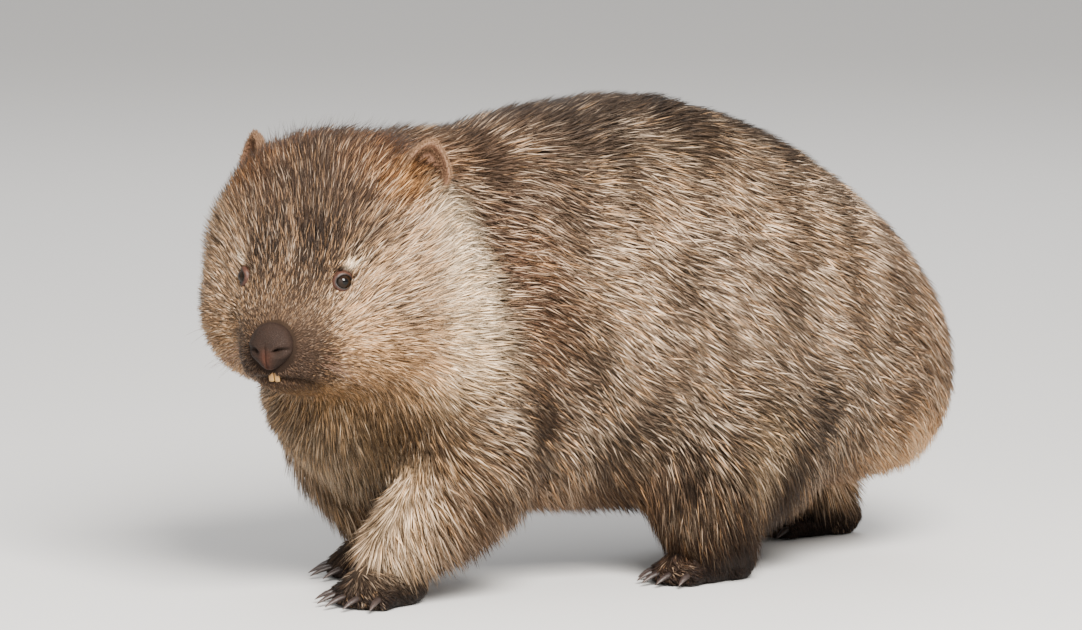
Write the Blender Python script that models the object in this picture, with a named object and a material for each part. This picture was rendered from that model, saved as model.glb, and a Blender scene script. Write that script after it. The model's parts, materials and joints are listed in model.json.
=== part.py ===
"""A common wombat at life size, walking, with its head low and turned to its left.

Metres, +Z up. The animal faces -Y, its left side is at +X, and it stands on z = 0.
The trunk, the head and the upper legs are lofts, eggs and bones fused into one smooth body,
which thin cuts part where a person would name its parts. Feet, claws, ears, eyes, nose and
teeth are pieces of their own, each seated in what it grows from.
"""

import math
import random

import bmesh
import bpy
from mathutils import Matrix, Vector
from mathutils.bvhtree import BVHTree

# The gap that keeps touching pieces apart
GAP = 0.0003

# The sections of the lofts are rounded boxes: their sides, how full their corners are, and at
# which share of their height they are widest
SECTION_SIDES = 32
SECTION_FULLNESS = 0.86
TRUNK_WIDEST = 0.46
HEAD_WIDEST = 0.42

# The trunk from the chest to the rump: along the body, its top, its underside, half its width
TRUNK_STATIONS = (
    (-0.262, 0.345, 0.130, 0.070),
    (-0.215, 0.381, 0.094, 0.112),
    (-0.150, 0.397, 0.083, 0.132),
    (-0.070, 0.414, 0.076, 0.143),
    (0.010, 0.422, 0.071, 0.150),
    (0.055, 0.421, 0.069, 0.151),
    (0.115, 0.405, 0.071, 0.149),
    (0.178, 0.378, 0.074, 0.141),
    (0.234, 0.341, 0.078, 0.128),
    (0.283, 0.300, 0.084, 0.108),
    (0.322, 0.254, 0.096, 0.082),
    (0.346, 0.212, 0.118, 0.050),
    (0.354, 0.185, 0.142, 0.020),
)

# Eggs of muscle on the trunk: the chest's, then the shoulder and the thigh on the left. The
# right shoulder mirrors the left, and the right thigh lies further back
CHEST_EGGS = (
    ((-0.005, -0.208, 0.168), (0.100, 0.078, 0.082)),
    ((-0.004, -0.236, 0.182), (0.094, 0.074, 0.076)),
)
SHOULDER_AT = (0.082, -0.160, 0.205)
SHOULDER_RADII = (0.064, 0.090, 0.115)
THIGH_AT = (0.076, 0.088, 0.155)
THIGH_RADII = (0.078, 0.116, 0.112)
RIGHT_THIGH_BACK = 0.100

# The head: where it sits, how far it turns to the animal's left, and its own stations, which
# run forward: distance, top, underside, half its width
HEAD_AT = Vector((0.056, -0.300, 0.0))
HEAD_TURN = math.radians(35)
HEAD_STATIONS = (
    (-0.120, 0.368, 0.215, 0.082),
    (-0.075, 0.398, 0.196, 0.110),
    (-0.035, 0.407, 0.190, 0.118),
    (-0.003, 0.400, 0.188, 0.110),
    (0.022, 0.377, 0.189, 0.088),
    (0.045, 0.343, 0.191, 0.063),
    (0.065, 0.305, 0.194, 0.047),
    (0.083, 0.272, 0.198, 0.041),
    (0.096, 0.252, 0.208, 0.031),
)

# The rod of the neck from the head to between the shoulders, and the egg of the throat
NECK_FROM = (-0.070, 0.0, 0.296)
NECK_FROM_RADIUS = 0.100
NECK_TO = (0.0, -0.170, 0.292)
NECK_TO_RADIUS = 0.112
THROAT_AT = (0.048, -0.212, 0.250)
THROAT_RADII = (0.096, 0.086, 0.110)

# Eggs of the face, along the head's forward, left and up: the chin in the middle, then the
# cheek, the brow and the upper lip on each side
CHIN_AT = (0.070, 0.0, 0.206)
CHIN_RADII = (0.024, 0.021, 0.012)
FACE_EGGS = (
    ((-0.004, 0.056, 0.256), (0.052, 0.056, 0.058)),
    ((0.032, 0.033, 0.296), (0.024, 0.030, 0.030)),
    ((0.078, 0.018, 0.224), (0.023, 0.021, 0.019)),
)

# The eyes look out, forward and a little up from these places on the face
EYE_AT = (0.054, 0.047, 0.291)
EYE_LOOK = (0.62, 0.76, 0.10)
EYE_RADIUS = 0.0085
LID_RADIUS = 0.0086
LID_THICKNESS = 0.0023
LID_SIDES = 16
LID_ROUND = 6
EYE_SHOWS = 0.0045
EYE_SEARCH = 0.08
BALL_ANGLES = (18, 36, 54, 72, 108, 148)
BALL_SIDES = 12

NOSE_AT = (0.0965, 0.0, 0.2375)
NOSE_RADII = (0.0192, 0.0135, 0.0205)
NOSE_TILT = math.radians(-12)
# A nostril, from the nose's centre, and how far it slants
NOSTRIL_AT = (0.0090, 0.0115, -0.0020)
NOSTRIL_RADII = (0.0046, 0.0060, 0.0028)
NOSTRIL_SLANT = 0.6
MOUTH_GAP = 0.0010
TOOTH_SIZE = (0.0052, 0.0030, 0.0150)
TOOTH_AT = (0.0915, 0.0, 0.2105)
TOOTH_TILT = math.radians(8)
TOOTH_TAPER = 0.84

EAR_AT = (-0.041, 0.085, 0.370)
EAR_RADII = (0.0250, 0.0095, 0.0350)
EAR_LEAN = math.radians(14)
EAR_SPLAY = math.radians(38)
EAR_TAPER = 0.30
EAR_BEND = 14.0
# The ear's cup, as shares of the ear's radii, then how far it lies in front and below
CUP_SHARES = (0.74, 0.95, 0.78)
CUP_FORWARD = 0.62
CUP_BELOW = 0.0010

TAIL_AT = (0.0, 0.3475, 0.190)
TAIL_RADII = (0.0110, 0.0125, 0.0190)
TAIL_TILT = math.radians(30)

# The legs' joints, from the shoulder or hip down to the wrist or ankle, and the radii there
LEGS = {
    "foreleg_left": (
        ((0.092, -0.165, 0.205), 0.066),
        ((0.098, -0.172, 0.122), 0.052),
        ((0.078, -0.240, 0.046), 0.031),
    ),
    "foreleg_right": (
        ((-0.086, -0.180, 0.205), 0.064),
        ((-0.084, -0.205, 0.128), 0.052),
        ((-0.064, -0.168, 0.044), 0.031),
    ),
    "hindleg_left": (
        ((0.074, 0.095, 0.165), 0.084),
        ((0.098, 0.055, 0.108), 0.060),
        ((0.103, 0.064, 0.048), 0.041),
    ),
    "hindleg_right": (
        ((-0.074, 0.190, 0.165), 0.082),
        ((-0.092, 0.220, 0.110), 0.058),
        ((-0.090, 0.292, 0.048), 0.035),
    ),
}

# The cuts: the neck's back and front, the chin below the mouth seen from the side, the ankles
NECK_BACK_AT = (0.0, -0.190, 0.290)
NECK_BACK_FACING = (0.26, -0.80, 0.50)
NECK_BACK_SIZE = (0.40, 0.44)
NECK_FRONT_AT = (-0.062, 0.0, 0.29)
NECK_FRONT_FACING = (0.94, 0.0, 0.34)
NECK_FRONT_SIZE = (0.44, 0.50)
IN_HEAD = (0.0, 0.0, 0.30)
IN_NECK = (-0.13, -0.10, 0.30)
JAW_SIDE = ((0.030, 0.1925), (0.120, 0.2165), (0.120, 0.165), (0.040, 0.165))
JAW_HALF_WIDTH = 0.060
ANKLE_CUT = 0.036

# What each leg takes of the flesh: the hull of balls round its upper joint, knee and foot
LEG_CARVES = {
    "foreleg_left": (
        ((0.118, -0.165, 0.180), 0.074),
        ((0.116, -0.182, 0.112), 0.068),
        ((0.080, -0.246, 0.030), 0.058),
    ),
    "foreleg_right": (
        ((-0.112, -0.172, 0.180), 0.074),
        ((-0.106, -0.205, 0.115), 0.068),
        ((-0.066, -0.172, 0.030), 0.056),
    ),
    "hindleg_left": (
        ((0.118, 0.098, 0.160), 0.082),
        ((0.116, 0.052, 0.105), 0.076),
        ((0.103, 0.068, 0.035), 0.064),
    ),
    "hindleg_right": (
        ((-0.118, 0.190, 0.160), 0.082),
        ((-0.112, 0.220, 0.105), 0.074),
        ((-0.090, 0.292, 0.035), 0.060),
    ),
}

# The feet: pads as (forward, up) and radii, then the toes from their roots to their tips
PAW_VOXEL = 0.0028
PAW_SMOOTHING = 4
PAW_TRIANGLES = 380
FORE_PAW = {
    "pads": (((0.012, 0.017), (0.031, 0.040, 0.021)),),
    "toe_root": 0.024,
    "toe_reach": 0.051,
    "toe_arc": 0.012,
    "root_spread": 0.022,
    "tip_spread": 0.030,
    "toe_radius": 0.0088,
    "claw_length": 0.026,
}
HIND_FOOT = {
    "pads": (
        ((-0.018, 0.018), (0.022, 0.026, 0.022)),
        ((0.014, 0.015), (0.025, 0.036, 0.018)),
    ),
    "toe_root": 0.026,
    "toe_reach": 0.052,
    "toe_arc": 0.013,
    "root_spread": 0.018,
    "tip_spread": 0.024,
    "toe_radius": 0.0076,
    "claw_length": 0.022,
}
FORE_TOE_TURN = math.radians(8)
HIND_TOE_TURN = math.radians(4)
# The shin runs up inside the paw by this share, and is this much thicker there
SHIN_SHARE = 0.35
SHIN_SWELL = 1.12
TOE_ROOT_HEIGHT = 0.012
TOE_TIP_HEIGHT = 0.0095
TOE_ROOT_SWELL = 1.1
CLAW_RADIUS = 0.0036
CLAW_FLATNESS = 0.85
CLAW_LIFT = 0.0012
CLAW_SHORTER_OUTSIDE = 0.14
CLAW_DROP = 0.0072
CLAW_SIDES = 5
CLAW_TAPER = ((0.0, 0.90), (0.30, 1.0), (0.62, 0.80), (0.86, 0.45), (1.0, 0.14))

# The flesh's mesh: how fine it is fused, and how many faces it keeps
FLESH_VOXEL = 0.0055
FLESH_SMOOTHING = 36
FLESH_TRIANGLES = 3800
ROUGH_TRIANGLES = 15200
CORE_SMOOTHING = 4

# How far the coat's tips stand over the flesh, and the share of it that the dense core fills
COAT_RISE = 0.0095
CROWN_RISE = 0.0035
FACE_RISE = 0.0010
FOOT_RISE = 0.0020
CORE_SHARE = 0.06
# Where the coat's height changes, as where each change starts and how long it runs: away from
# the nose, round the crown, up from the feet
RISES_FROM_NOSE = (0.035, 0.085)
CROWN_MIDDLE = (-0.030, 0.0, 0.340)
FALLS_FROM_CROWN = (0.09, 0.06)
CROWN_FROM_NOSE = (0.07, 0.05)
RISES_FROM_FEET = (0.030, 0.045)

# The lie of the coat: how it runs back, and how steeply down on the flank, the legs, the rump
LIES_BACK = 0.80
LIES_DOWN = 0.62
LIES_DOWN_ON_LEGS = 0.75
LEGS_BELOW = (0.15, 0.09)
LIES_DOWN_ON_RUMP = 0.9
RUMP_BEHIND = (0.25, 0.09)
HEAD_WITHIN = (0.15, 0.12)

# The locks: how far apart their roots are on each node, their length and their width
LOCKS = {
    "head": (0.029, 0.054, 0.028),
    "neck": (0.034, 0.060, 0.036),
    "torso": (0.046, 0.092, 0.044),
    "foreleg_left": (0.031, 0.052, 0.030),
    "foreleg_right": (0.031, 0.052, 0.030),
    "hindleg_left": (0.031, 0.054, 0.031),
    "hindleg_right": (0.031, 0.054, 0.031),
}
# Stations along a lock: share of its length, of its width, its thickness and the height of its
# edges over the core, both as shares of the coat's height there
LOCK_STATIONS = ((0.0, 0.50, 0.55, 0.0), (0.24, 0.96, 0.48, 0.16), (0.64, 0.80, 0.36, 0.46))
LOCK_TIP_LIFT = 1.0
LOCK_SINK = 0.0055
LOCK_VARIES = 0.18
LOCK_TURNS = math.radians(13)
LOCK_LEAST_RISE = 0.0040
LOCK_CLEAR = 0.0010
LOCK_SHORTER = (1.0, 0.82, 0.66, 0.52)
LOCK_STRAIGHT = 0.72
LOCK_DRAWS = 20000
COAT_TRIANGLES = {"torso": 5500, "head": 3000, "neck": 800}
LEG_TRIANGLES = 900
SEAM_KEPT = 0.010
SHARP_ANGLE = math.radians(50)

# Colour, roughness
FUR = ((0.165, 0.115, 0.078), 0.85)
FACE_FUR = ((0.235, 0.165, 0.110), 0.85)
PAW_SKIN = ((0.050, 0.032, 0.024), 0.70)
NOSE_SKIN = ((0.045, 0.026, 0.022), 0.45)
CLAW_HORN = ((0.150, 0.110, 0.085), 0.40)
EYE_GLOSS = ((0.020, 0.010, 0.006), 0.05)
EAR_SKIN = ((0.260, 0.165, 0.120), 0.75)
TOOTH_ENAMEL = ((0.760, 0.600, 0.330), 0.30)


def head_turned(forward, left, up):
    """A direction given along the head's own forward, left and up."""
    return Matrix.Rotation(HEAD_TURN, 3, "Z") @ Vector((left, -forward, up))


def head_point(forward, left, up):
    """A point given from the ground below the head's centre, along the head's directions."""
    return HEAD_AT + head_turned(forward, left, up)


def add_egg(bm, centre, radii, place=Matrix.Identity(4), detail=3):
    """An ellipsoid with radii across, along and up, turned by place about its own centre."""
    made = bmesh.ops.create_icosphere(bm, subdivisions=detail, radius=1.0)["verts"]
    shape = Matrix.Translation(centre) @ place @ Matrix.Diagonal((*radii, 1.0))
    bmesh.ops.transform(bm, matrix=shape, verts=made)


def add_head_egg(bm, forward, left, up, radii, tilt=0.0):
    """An egg placed and turned with the head. Tilt turns its top forward."""
    place = Matrix.Rotation(HEAD_TURN, 4, "Z") @ Matrix.Rotation(tilt, 4, "X")
    add_egg(bm, head_point(forward, left, up), radii, place)


def ball_points(centre, radius, detail=2):
    """Points spread evenly over a ball."""
    ball = bmesh.new()
    bmesh.ops.create_icosphere(ball, subdivisions=detail, radius=radius)
    points = [Vector(centre) + vert.co for vert in ball.verts]
    ball.free()
    return points


def add_hull(bm, points):
    """The tightest solid with no hollow that goes around these points."""
    corners = [bm.verts.new(point) for point in points]
    hull = bmesh.ops.convex_hull(bm, input=corners)
    inside = [item for item in hull["geom_interior"] if isinstance(item, bmesh.types.BMVert)]
    bmesh.ops.delete(bm, geom=inside, context="VERTS")


def add_bone(bm, start, start_radius, end, end_radius, detail=2):
    """A tapered rod with round ends."""
    add_hull(bm, ball_points(start, start_radius, detail) + ball_points(end, end_radius, detail))


def skin_rings(bm, rings, *ends):
    """Joins rings of points, each as long as the next, and closes both ends with a fan."""
    rows = [[bm.verts.new(point) for point in ring] for ring in rings]
    count = len(rows[0])
    for first, second in zip(rows, rows[1:]):
        for i in range(count):
            j = (i + 1) % count
            bm.faces.new((first[i], first[j], second[j], second[i]))
    middles = [sum((vert.co for vert in row), Vector()) / count for row in (rows[0], rows[-1])]
    for row, flip, end in zip((rows[0], rows[-1]), (True, False), ends or middles):
        tip = bm.verts.new(end)
        for i in range(count):
            corners = (row[i], row[(i + 1) % count], tip)
            bm.faces.new(corners[::-1] if flip else corners)


def squared(value, power):
    """A cosine or sine made fuller, which turns a round section into a boxier one."""
    return math.copysign(abs(value) ** power, value)


def section(top, underside, half_width, widest):
    """Points (across, up) around one section, widest at this share of its height."""
    middle = underside + (top - underside) * widest
    points = []
    for i in range(SECTION_SIDES):
        angle = 2 * math.pi * i / SECTION_SIDES
        across = half_width * squared(math.cos(angle), SECTION_FULLNESS)
        up = squared(math.sin(angle), SECTION_FULLNESS)
        reach = top - middle if up > 0 else middle - underside
        points.append((across, middle + reach * up))
    return points


def object_from(bm, name):
    """Closes a bmesh into an object whose faces point out."""
    bmesh.ops.recalc_face_normals(bm, faces=bm.faces)
    mesh = bpy.data.meshes.new(name)
    bm.to_mesh(mesh)
    bm.free()
    made = bpy.data.objects.new(name, mesh)
    bpy.context.scene.collection.objects.link(made)
    return made


def apply_modifiers(obj):
    """Replaces the object's mesh with the one that its modifiers make."""
    bpy.context.view_layer.update()
    graph = bpy.context.evaluated_depsgraph_get()
    mesh = bpy.data.meshes.new_from_object(obj.evaluated_get(graph))
    obj.modifiers.clear()
    obj.data = mesh
    return obj


def fuse(obj, voxel, smoothing, triangles):
    """Runs overlapping shapes together into one smooth skin of about this many triangles."""
    remesh = obj.modifiers.new("Fuse", "REMESH")
    remesh.mode = "VOXEL"
    remesh.voxel_size = voxel
    smooth = obj.modifiers.new("Soften", "SMOOTH")
    smooth.iterations = smoothing
    apply_modifiers(obj)
    obj.modifiers.new("Faces", "TRIANGULATE")
    apply_modifiers(obj)
    fewer = obj.modifiers.new("Fewer", "DECIMATE")
    fewer.ratio = min(1.0, triangles / len(obj.data.polygons))
    return apply_modifiers(obj)


def combine(obj, others, operation):
    """Joins closed objects to this one or cuts them from it, and removes them."""
    tools = bpy.data.collections.new("tools")
    for other in others:
        tools.objects.link(other)
    boolean = obj.modifiers.new(operation, "BOOLEAN")
    boolean.operation = operation
    boolean.solver = "MANIFOLD"
    if operation == "INTERSECT":
        boolean.object = others[0]
    else:
        boolean.operand_type = "COLLECTION"
        boolean.collection = tools
    apply_modifiers(obj)
    for other in others:
        bpy.data.objects.remove(other)
    bpy.data.collections.remove(tools)
    return obj


def loose_bodies(obj):
    """The closed surfaces in an object's mesh, each as its own bmesh, the largest first."""
    whole = bmesh.new()
    whole.from_mesh(obj.data)
    whole.verts.ensure_lookup_table()
    body_of = {}
    count = 0
    for start in range(len(whole.verts)):
        if start in body_of:
            continue
        body_of[start] = count
        front = [start]
        while front:
            for edge in whole.verts[front.pop()].link_edges:
                for vert in edge.verts:
                    if vert.index not in body_of:
                        body_of[vert.index] = count
                        front.append(vert.index)
        count += 1
    found = [bmesh.new() for _ in range(count)]
    corners = {}
    for vert in whole.verts:
        corners[vert.index] = found[body_of[vert.index]].verts.new(vert.co)
    for face in whole.faces:
        body = found[body_of[face.verts[0].index]]
        body.faces.new([corners[vert.index] for vert in face.verts])
    whole.free()
    found.sort(key=lambda piece: abs(piece.calc_volume()), reverse=True)
    return found


def keep_largest(obj):
    """Drops every closed surface but the largest."""
    bodies = loose_bodies(obj)
    mesh = bpy.data.meshes.new(obj.name)
    bodies[0].to_mesh(mesh)
    obj.data = mesh
    for body in bodies:
        body.free()
    return obj


def swollen(obj, distance, name="swollen"):
    """A copy of an object whose every corner moved out by this much."""
    bm = bmesh.new()
    bm.from_mesh(obj.data)
    bm.normal_update()
    for vert in bm.verts:
        vert.co += vert.normal * distance * max(1.0, vert.calc_shell_factor())
    return object_from(bm, name)


def slab(centre, normal, width, height, thickness=GAP):
    """A thin plate for a cut, across this direction. Its height lies nearest to upright."""
    normal = Vector(normal).normalized()
    side = Vector((0, 0, 1)).cross(normal)
    side = side.normalized() if side.length > 0.01 else Vector((1, 0, 0))
    up = normal.cross(side)
    bm = bmesh.new()
    turn = Matrix((side, normal, up)).transposed().to_4x4()
    bmesh.ops.create_cube(bm, size=1.0)
    shape = Matrix.Translation(centre) @ turn @ Matrix.Diagonal((width, thickness, height, 1.0))
    bmesh.ops.transform(bm, matrix=shape, verts=bm.verts)
    return object_from(bm, "slab")


def surface_of(obj):
    """The object's surface, for finding the nearest place on it."""
    bm = bmesh.new()
    bm.from_mesh(obj.data)
    tree = BVHTree.FromBMesh(bm)
    bm.free()
    return tree


def trunk_shapes(bm):
    """The trunk with its chest, throat, shoulders and thighs."""
    rings = []
    for along, top, underside, half_width in TRUNK_STATIONS:
        ring = section(top, underside, half_width, TRUNK_WIDEST)
        rings.append([Vector((x, along, z)) for x, z in ring])
    skin_rings(bm, rings)
    for centre, radii in CHEST_EGGS:
        add_egg(bm, centre, radii)
    for side, thigh_back in ((1, 0.0), (-1, RIGHT_THIGH_BACK)):
        across, along, up = SHOULDER_AT
        add_egg(bm, (side * across, along, up), SHOULDER_RADII)
        across, along, up = THIGH_AT
        add_egg(bm, (side * across, along + thigh_back, up), THIGH_RADII)


def leg_shapes(bm):
    """The upper and lower bone of each leg, which runs on a little past the wrist or ankle."""
    for joints in LEGS.values():
        for (start, start_radius), (end, end_radius) in zip(joints, joints[1:]):
            add_bone(bm, start, start_radius, end, end_radius)


def head_shapes(bm):
    """The head's own loft with its cheeks, brows, lips and throat."""
    rings = []
    for forward, top, underside, half_width in HEAD_STATIONS:
        ring = section(top, underside, half_width, HEAD_WIDEST)
        rings.append([head_point(forward, left, up) for left, up in ring])
    skin_rings(bm, rings)
    add_bone(bm, head_point(*NECK_FROM), NECK_FROM_RADIUS, NECK_TO, NECK_TO_RADIUS)
    add_egg(bm, THROAT_AT, THROAT_RADII)
    add_head_egg(bm, *CHIN_AT, CHIN_RADII)
    for side in (1, -1):
        for (forward, left, up), radii in FACE_EGGS:
            add_head_egg(bm, forward, side * left, up, radii)


def eased(value, start, run):
    """Runs smoothly from 0, where the value starts, to 1 after this run, and stays there."""
    held = min(1.0, max(0.0, (value - start) / run))
    return held * held * (3 - 2 * held)


def coat_rise(point):
    """How far the coat's tips stand over the core here: least on the face and the feet."""
    from_nose = (point - head_point(*NOSE_AT)).length
    rise = FACE_RISE + (COAT_RISE - FACE_RISE) * eased(from_nose, *RISES_FROM_NOSE)
    to_crown = (point - head_point(*CROWN_MIDDLE)).length
    on_crown = 1.0 - eased(to_crown, *FALLS_FROM_CROWN)
    rise += CROWN_RISE * on_crown * eased(from_nose, *CROWN_FROM_NOSE)
    return FOOT_RISE + (rise - FOOT_RISE) * eased(point.z, *RISES_FROM_FEET)


def build_flesh():
    """The whole body as one smooth skin, out to the top of the coat's dense core."""
    bm = bmesh.new()
    trunk_shapes(bm)
    leg_shapes(bm)
    head_shapes(bm)
    flesh = fuse(object_from(bm, "flesh"), FLESH_VOXEL, FLESH_SMOOTHING, ROUGH_TRIANGLES)
    for vert in flesh.data.vertices:
        vert.co += vert.normal * coat_rise(vert.co) * CORE_SHARE
    return fuse(flesh, FLESH_VOXEL, CORE_SMOOTHING, FLESH_TRIANGLES)


def divide(obj, plate, anchor, name):
    """Parts an object with a thin plate. The body nearest the anchor becomes a new object."""
    combine(obj, [plate], "DIFFERENCE")
    bodies = loose_bodies(obj)[:2]
    if len(bodies) < 2:
        raise ValueError(name + " isn't parted by its cut")
    nearest = [min((vert.co - anchor).length for vert in body.verts) for body in bodies]
    chosen = bodies.pop(nearest.index(min(nearest)))
    mesh = bpy.data.meshes.new(obj.name)
    bodies[0].to_mesh(mesh)
    bodies[0].free()
    obj.data = mesh
    return object_from(chosen, name)


def carve(obj, points, name, gap=GAP):
    """Takes what lies in the hull of these points off an object, as a new object."""
    bm = bmesh.new()
    add_hull(bm, points)
    inner = object_from(bm, "inner")
    outer = swollen(inner, gap)
    taken = bpy.data.objects.new(name, obj.data.copy())
    bpy.context.scene.collection.objects.link(taken)
    keep_largest(combine(taken, [inner], "INTERSECT"))
    keep_largest(combine(obj, [outer], "DIFFERENCE"))
    return taken


def part_flesh(flesh):
    """Head, neck, torso, jaw and the four legs, each closed, with a thin gap between."""
    neck_back = slab(NECK_BACK_AT, NECK_BACK_FACING, *NECK_BACK_SIZE)
    front = divide(flesh, neck_back, head_point(*IN_HEAD), "head")
    facing = head_turned(*NECK_FRONT_FACING)
    neck_front = slab(head_point(*NECK_FRONT_AT), facing, *NECK_FRONT_SIZE)
    neck = divide(front, neck_front, head_point(*IN_NECK), "neck")
    chin = [
        head_point(forward, side * JAW_HALF_WIDTH, up)
        for forward, up in JAW_SIDE
        for side in (1, -1)
    ]
    jaw = carve(front, chin, "jaw", MOUTH_GAP)
    legs = []
    for name, balls in LEG_CARVES.items():
        round_leg = [point for ball in balls for point in ball_points(*ball, detail=1)]
        legs.append(carve(flesh, round_leg, name))
    flesh.name = "torso"
    return {obj.name: obj for obj in [flesh, front, neck, jaw, *legs]}


def trim(obj, point, facing):
    """Cuts an object with a plane and keeps the side that the plane faces."""
    bm = bmesh.new()
    bm.from_mesh(obj.data)
    everything = bm.verts[:] + bm.edges[:] + bm.faces[:]
    bmesh.ops.bisect_plane(
        bm, geom=everything, plane_co=point, plane_no=facing, clear_inner=True
    )
    edges = [edge for edge in bm.edges if edge.is_boundary]
    bmesh.ops.triangle_fill(bm, edges=edges, use_beauty=True)
    bmesh.ops.triangulate(bm, faces=bm.faces)
    bmesh.ops.recalc_face_normals(bm, faces=bm.faces)
    bm.to_mesh(obj.data)
    bm.free()
    return obj


def claw_points(root, along, length, swell):
    """Rings of a curved, tapered claw, a little flatter than it is wide."""
    across = Vector((0, 0, 1)).cross(along).normalized()
    rings = []
    for share, size in CLAW_TAPER:
        centre = root + along * (length * share) + Vector((0, 0, -CLAW_DROP * share * share))
        ring = []
        for i in range(CLAW_SIDES):
            angle = 2 * math.pi * i / CLAW_SIDES
            wide = (CLAW_RADIUS * size + swell) * math.cos(angle)
            tall = (CLAW_RADIUS * size * CLAW_FLATNESS + swell) * math.sin(angle)
            ring.append(centre + across * wide + Vector((0, 0, tall)))
        rings.append(ring)
    return rings


def build_claw(name, root, along, length, swell=0.0):
    """One claw, or the room for it in the toe if it is swollen."""
    bm = bmesh.new()
    skin_rings(bm, claw_points(root - along * swell, along, length + 2 * swell, swell))
    bmesh.ops.triangulate(bm, faces=bm.faces)
    return object_from(bm, name)


def build_paw(name, leg, turn, shape):
    """A foot with its five toes on the ground below a leg's last joint, and its claws."""
    ankle = Vector(LEGS[leg][2][0])
    knee = Vector(LEGS[leg][1][0])
    place = Matrix.Translation((ankle.x, ankle.y, 0.0)) @ Matrix.Rotation(turn, 4, "Z")

    def ground(forward, left, up):
        return place @ Vector((left, -forward, up))

    bm = bmesh.new()
    radius = LEGS[leg][2][1]
    add_bone(bm, ankle, radius, ankle.lerp(knee, SHIN_SHARE), radius * SHIN_SWELL)
    turned = Matrix.Rotation(turn, 4, "Z")
    for (forward, up), radii in shape["pads"]:
        add_egg(bm, ground(forward, 0.0, up), radii, turned)
    claws = []
    cutters = []
    for i in range(-2, 3):
        fan = i / 2.0
        root = ground(shape["toe_root"], fan * shape["root_spread"], TOE_ROOT_HEIGHT)
        reach = shape["toe_reach"] - shape["toe_arc"] * fan * fan
        tip = ground(reach, fan * shape["tip_spread"], TOE_TIP_HEIGHT)
        add_bone(bm, root, shape["toe_radius"] * TOE_ROOT_SWELL, tip, shape["toe_radius"])
        along = tip - root
        along.z = 0.0
        along.normalize()
        size = shape["claw_length"] * (1.0 - CLAW_SHORTER_OUTSIDE * abs(fan))
        claw_root = tip + Vector((0, 0, CLAW_LIFT))
        title = name + "_claw_" + str(i + 3)
        claws.append(build_claw(title, claw_root, along, size))
        cutters.append(build_claw("cutter", claw_root, along, size, GAP))
    paw = fuse(object_from(bm, name), PAW_VOXEL, PAW_SMOOTHING, PAW_TRIANGLES)
    trim(paw, (0, 0, ANKLE_CUT - GAP), (0, 0, -1))
    trim(paw, (0, 0, 0), (0, 0, 1))
    keep_largest(combine(paw, cutters, "DIFFERENCE"))
    return [paw, *claws]


def build_ball(name, centre, turn, radius):
    """A ball whose rings are closest round the pole that shows."""
    rings = []
    for angle in BALL_ANGLES:
        ring = []
        for i in range(BALL_SIDES):
            around = 2 * math.pi * i / BALL_SIDES
            out = radius * math.sin(math.radians(angle))
            spoke = Vector((out * math.cos(around), out * math.sin(around), 0.0))
            spoke.z = radius * math.cos(math.radians(angle))
            ring.append(centre + turn @ spoke)
        rings.append(ring)
    bm = bmesh.new()
    pole = turn @ Vector((0, 0, radius))
    skin_rings(bm, rings, centre + pole, centre - pole)
    bmesh.ops.triangulate(bm, faces=bm.faces)
    return object_from(bm, name)


def build_eye(name, side, head):
    """An eyeball in its socket, in a ring of lid that stands a little off the face."""
    forward, left, up = EYE_AT
    look = head_turned(EYE_LOOK[0], side * EYE_LOOK[1], EYE_LOOK[2]).normalized()
    start = head_point(forward, side * left, up)
    face = surface_of(head).ray_cast(start + look * EYE_SEARCH, -look)[0]
    centre = face - look * (EYE_RADIUS - EYE_SHOWS)
    turn = look.to_track_quat("Z", "Y").to_matrix()
    rings = []
    for i in range(LID_SIDES):
        around = 2 * math.pi * i / LID_SIDES
        spoke = Vector((math.cos(around), math.sin(around), 0.0))
        ring = []
        for j in range(LID_ROUND):
            angle = 2 * math.pi * j / LID_ROUND
            out = LID_RADIUS + LID_THICKNESS * math.cos(angle)
            lift = EYE_RADIUS - EYE_SHOWS + LID_THICKNESS * math.sin(angle)
            ring.append(centre + turn @ (spoke * out + Vector((0, 0, lift))))
        rings.append(ring)
    bm = bmesh.new()
    rows = [[bm.verts.new(point) for point in ring] for ring in rings]
    for i in range(LID_SIDES):
        first, second = rows[i], rows[(i + 1) % LID_SIDES]
        for j in range(LID_ROUND):
            k = (j + 1) % LID_ROUND
            bm.faces.new((first[j], first[k], second[k], second[j]))
    bmesh.ops.triangulate(bm, faces=bm.faces)
    combine(head, [object_from(bm, "lid")], "UNION")
    eyeball = build_ball(name, centre, turn, EYE_RADIUS)
    socket = build_ball("socket", centre, turn, EYE_RADIUS + GAP)
    keep_largest(combine(head, [socket], "DIFFERENCE"))
    return eyeball


def build_nose(head):
    """The bare nose pad with its two nostrils, in a hollow at the muzzle's end."""
    bm = bmesh.new()
    add_head_egg(bm, *NOSE_AT, NOSE_RADII, NOSE_TILT)
    nose = object_from(bm, "nose")
    hollow = swollen(nose, GAP)
    keep_largest(combine(head, [hollow], "DIFFERENCE"))
    nostrils = []
    for side in (1, -1):
        bm = bmesh.new()
        slant = Matrix.Rotation(side * NOSTRIL_SLANT, 4, "Y")
        place = Matrix.Rotation(HEAD_TURN, 4, "Z") @ slant
        forward, left, up = NOSTRIL_AT
        centre = head_point(NOSE_AT[0] + forward, side * left, NOSE_AT[2] + up)
        add_egg(bm, centre, NOSTRIL_RADII, place, detail=2)
        nostrils.append(object_from(bm, "nostril"))
    keep_largest(combine(nose, nostrils, "DIFFERENCE"))
    return nose


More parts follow.
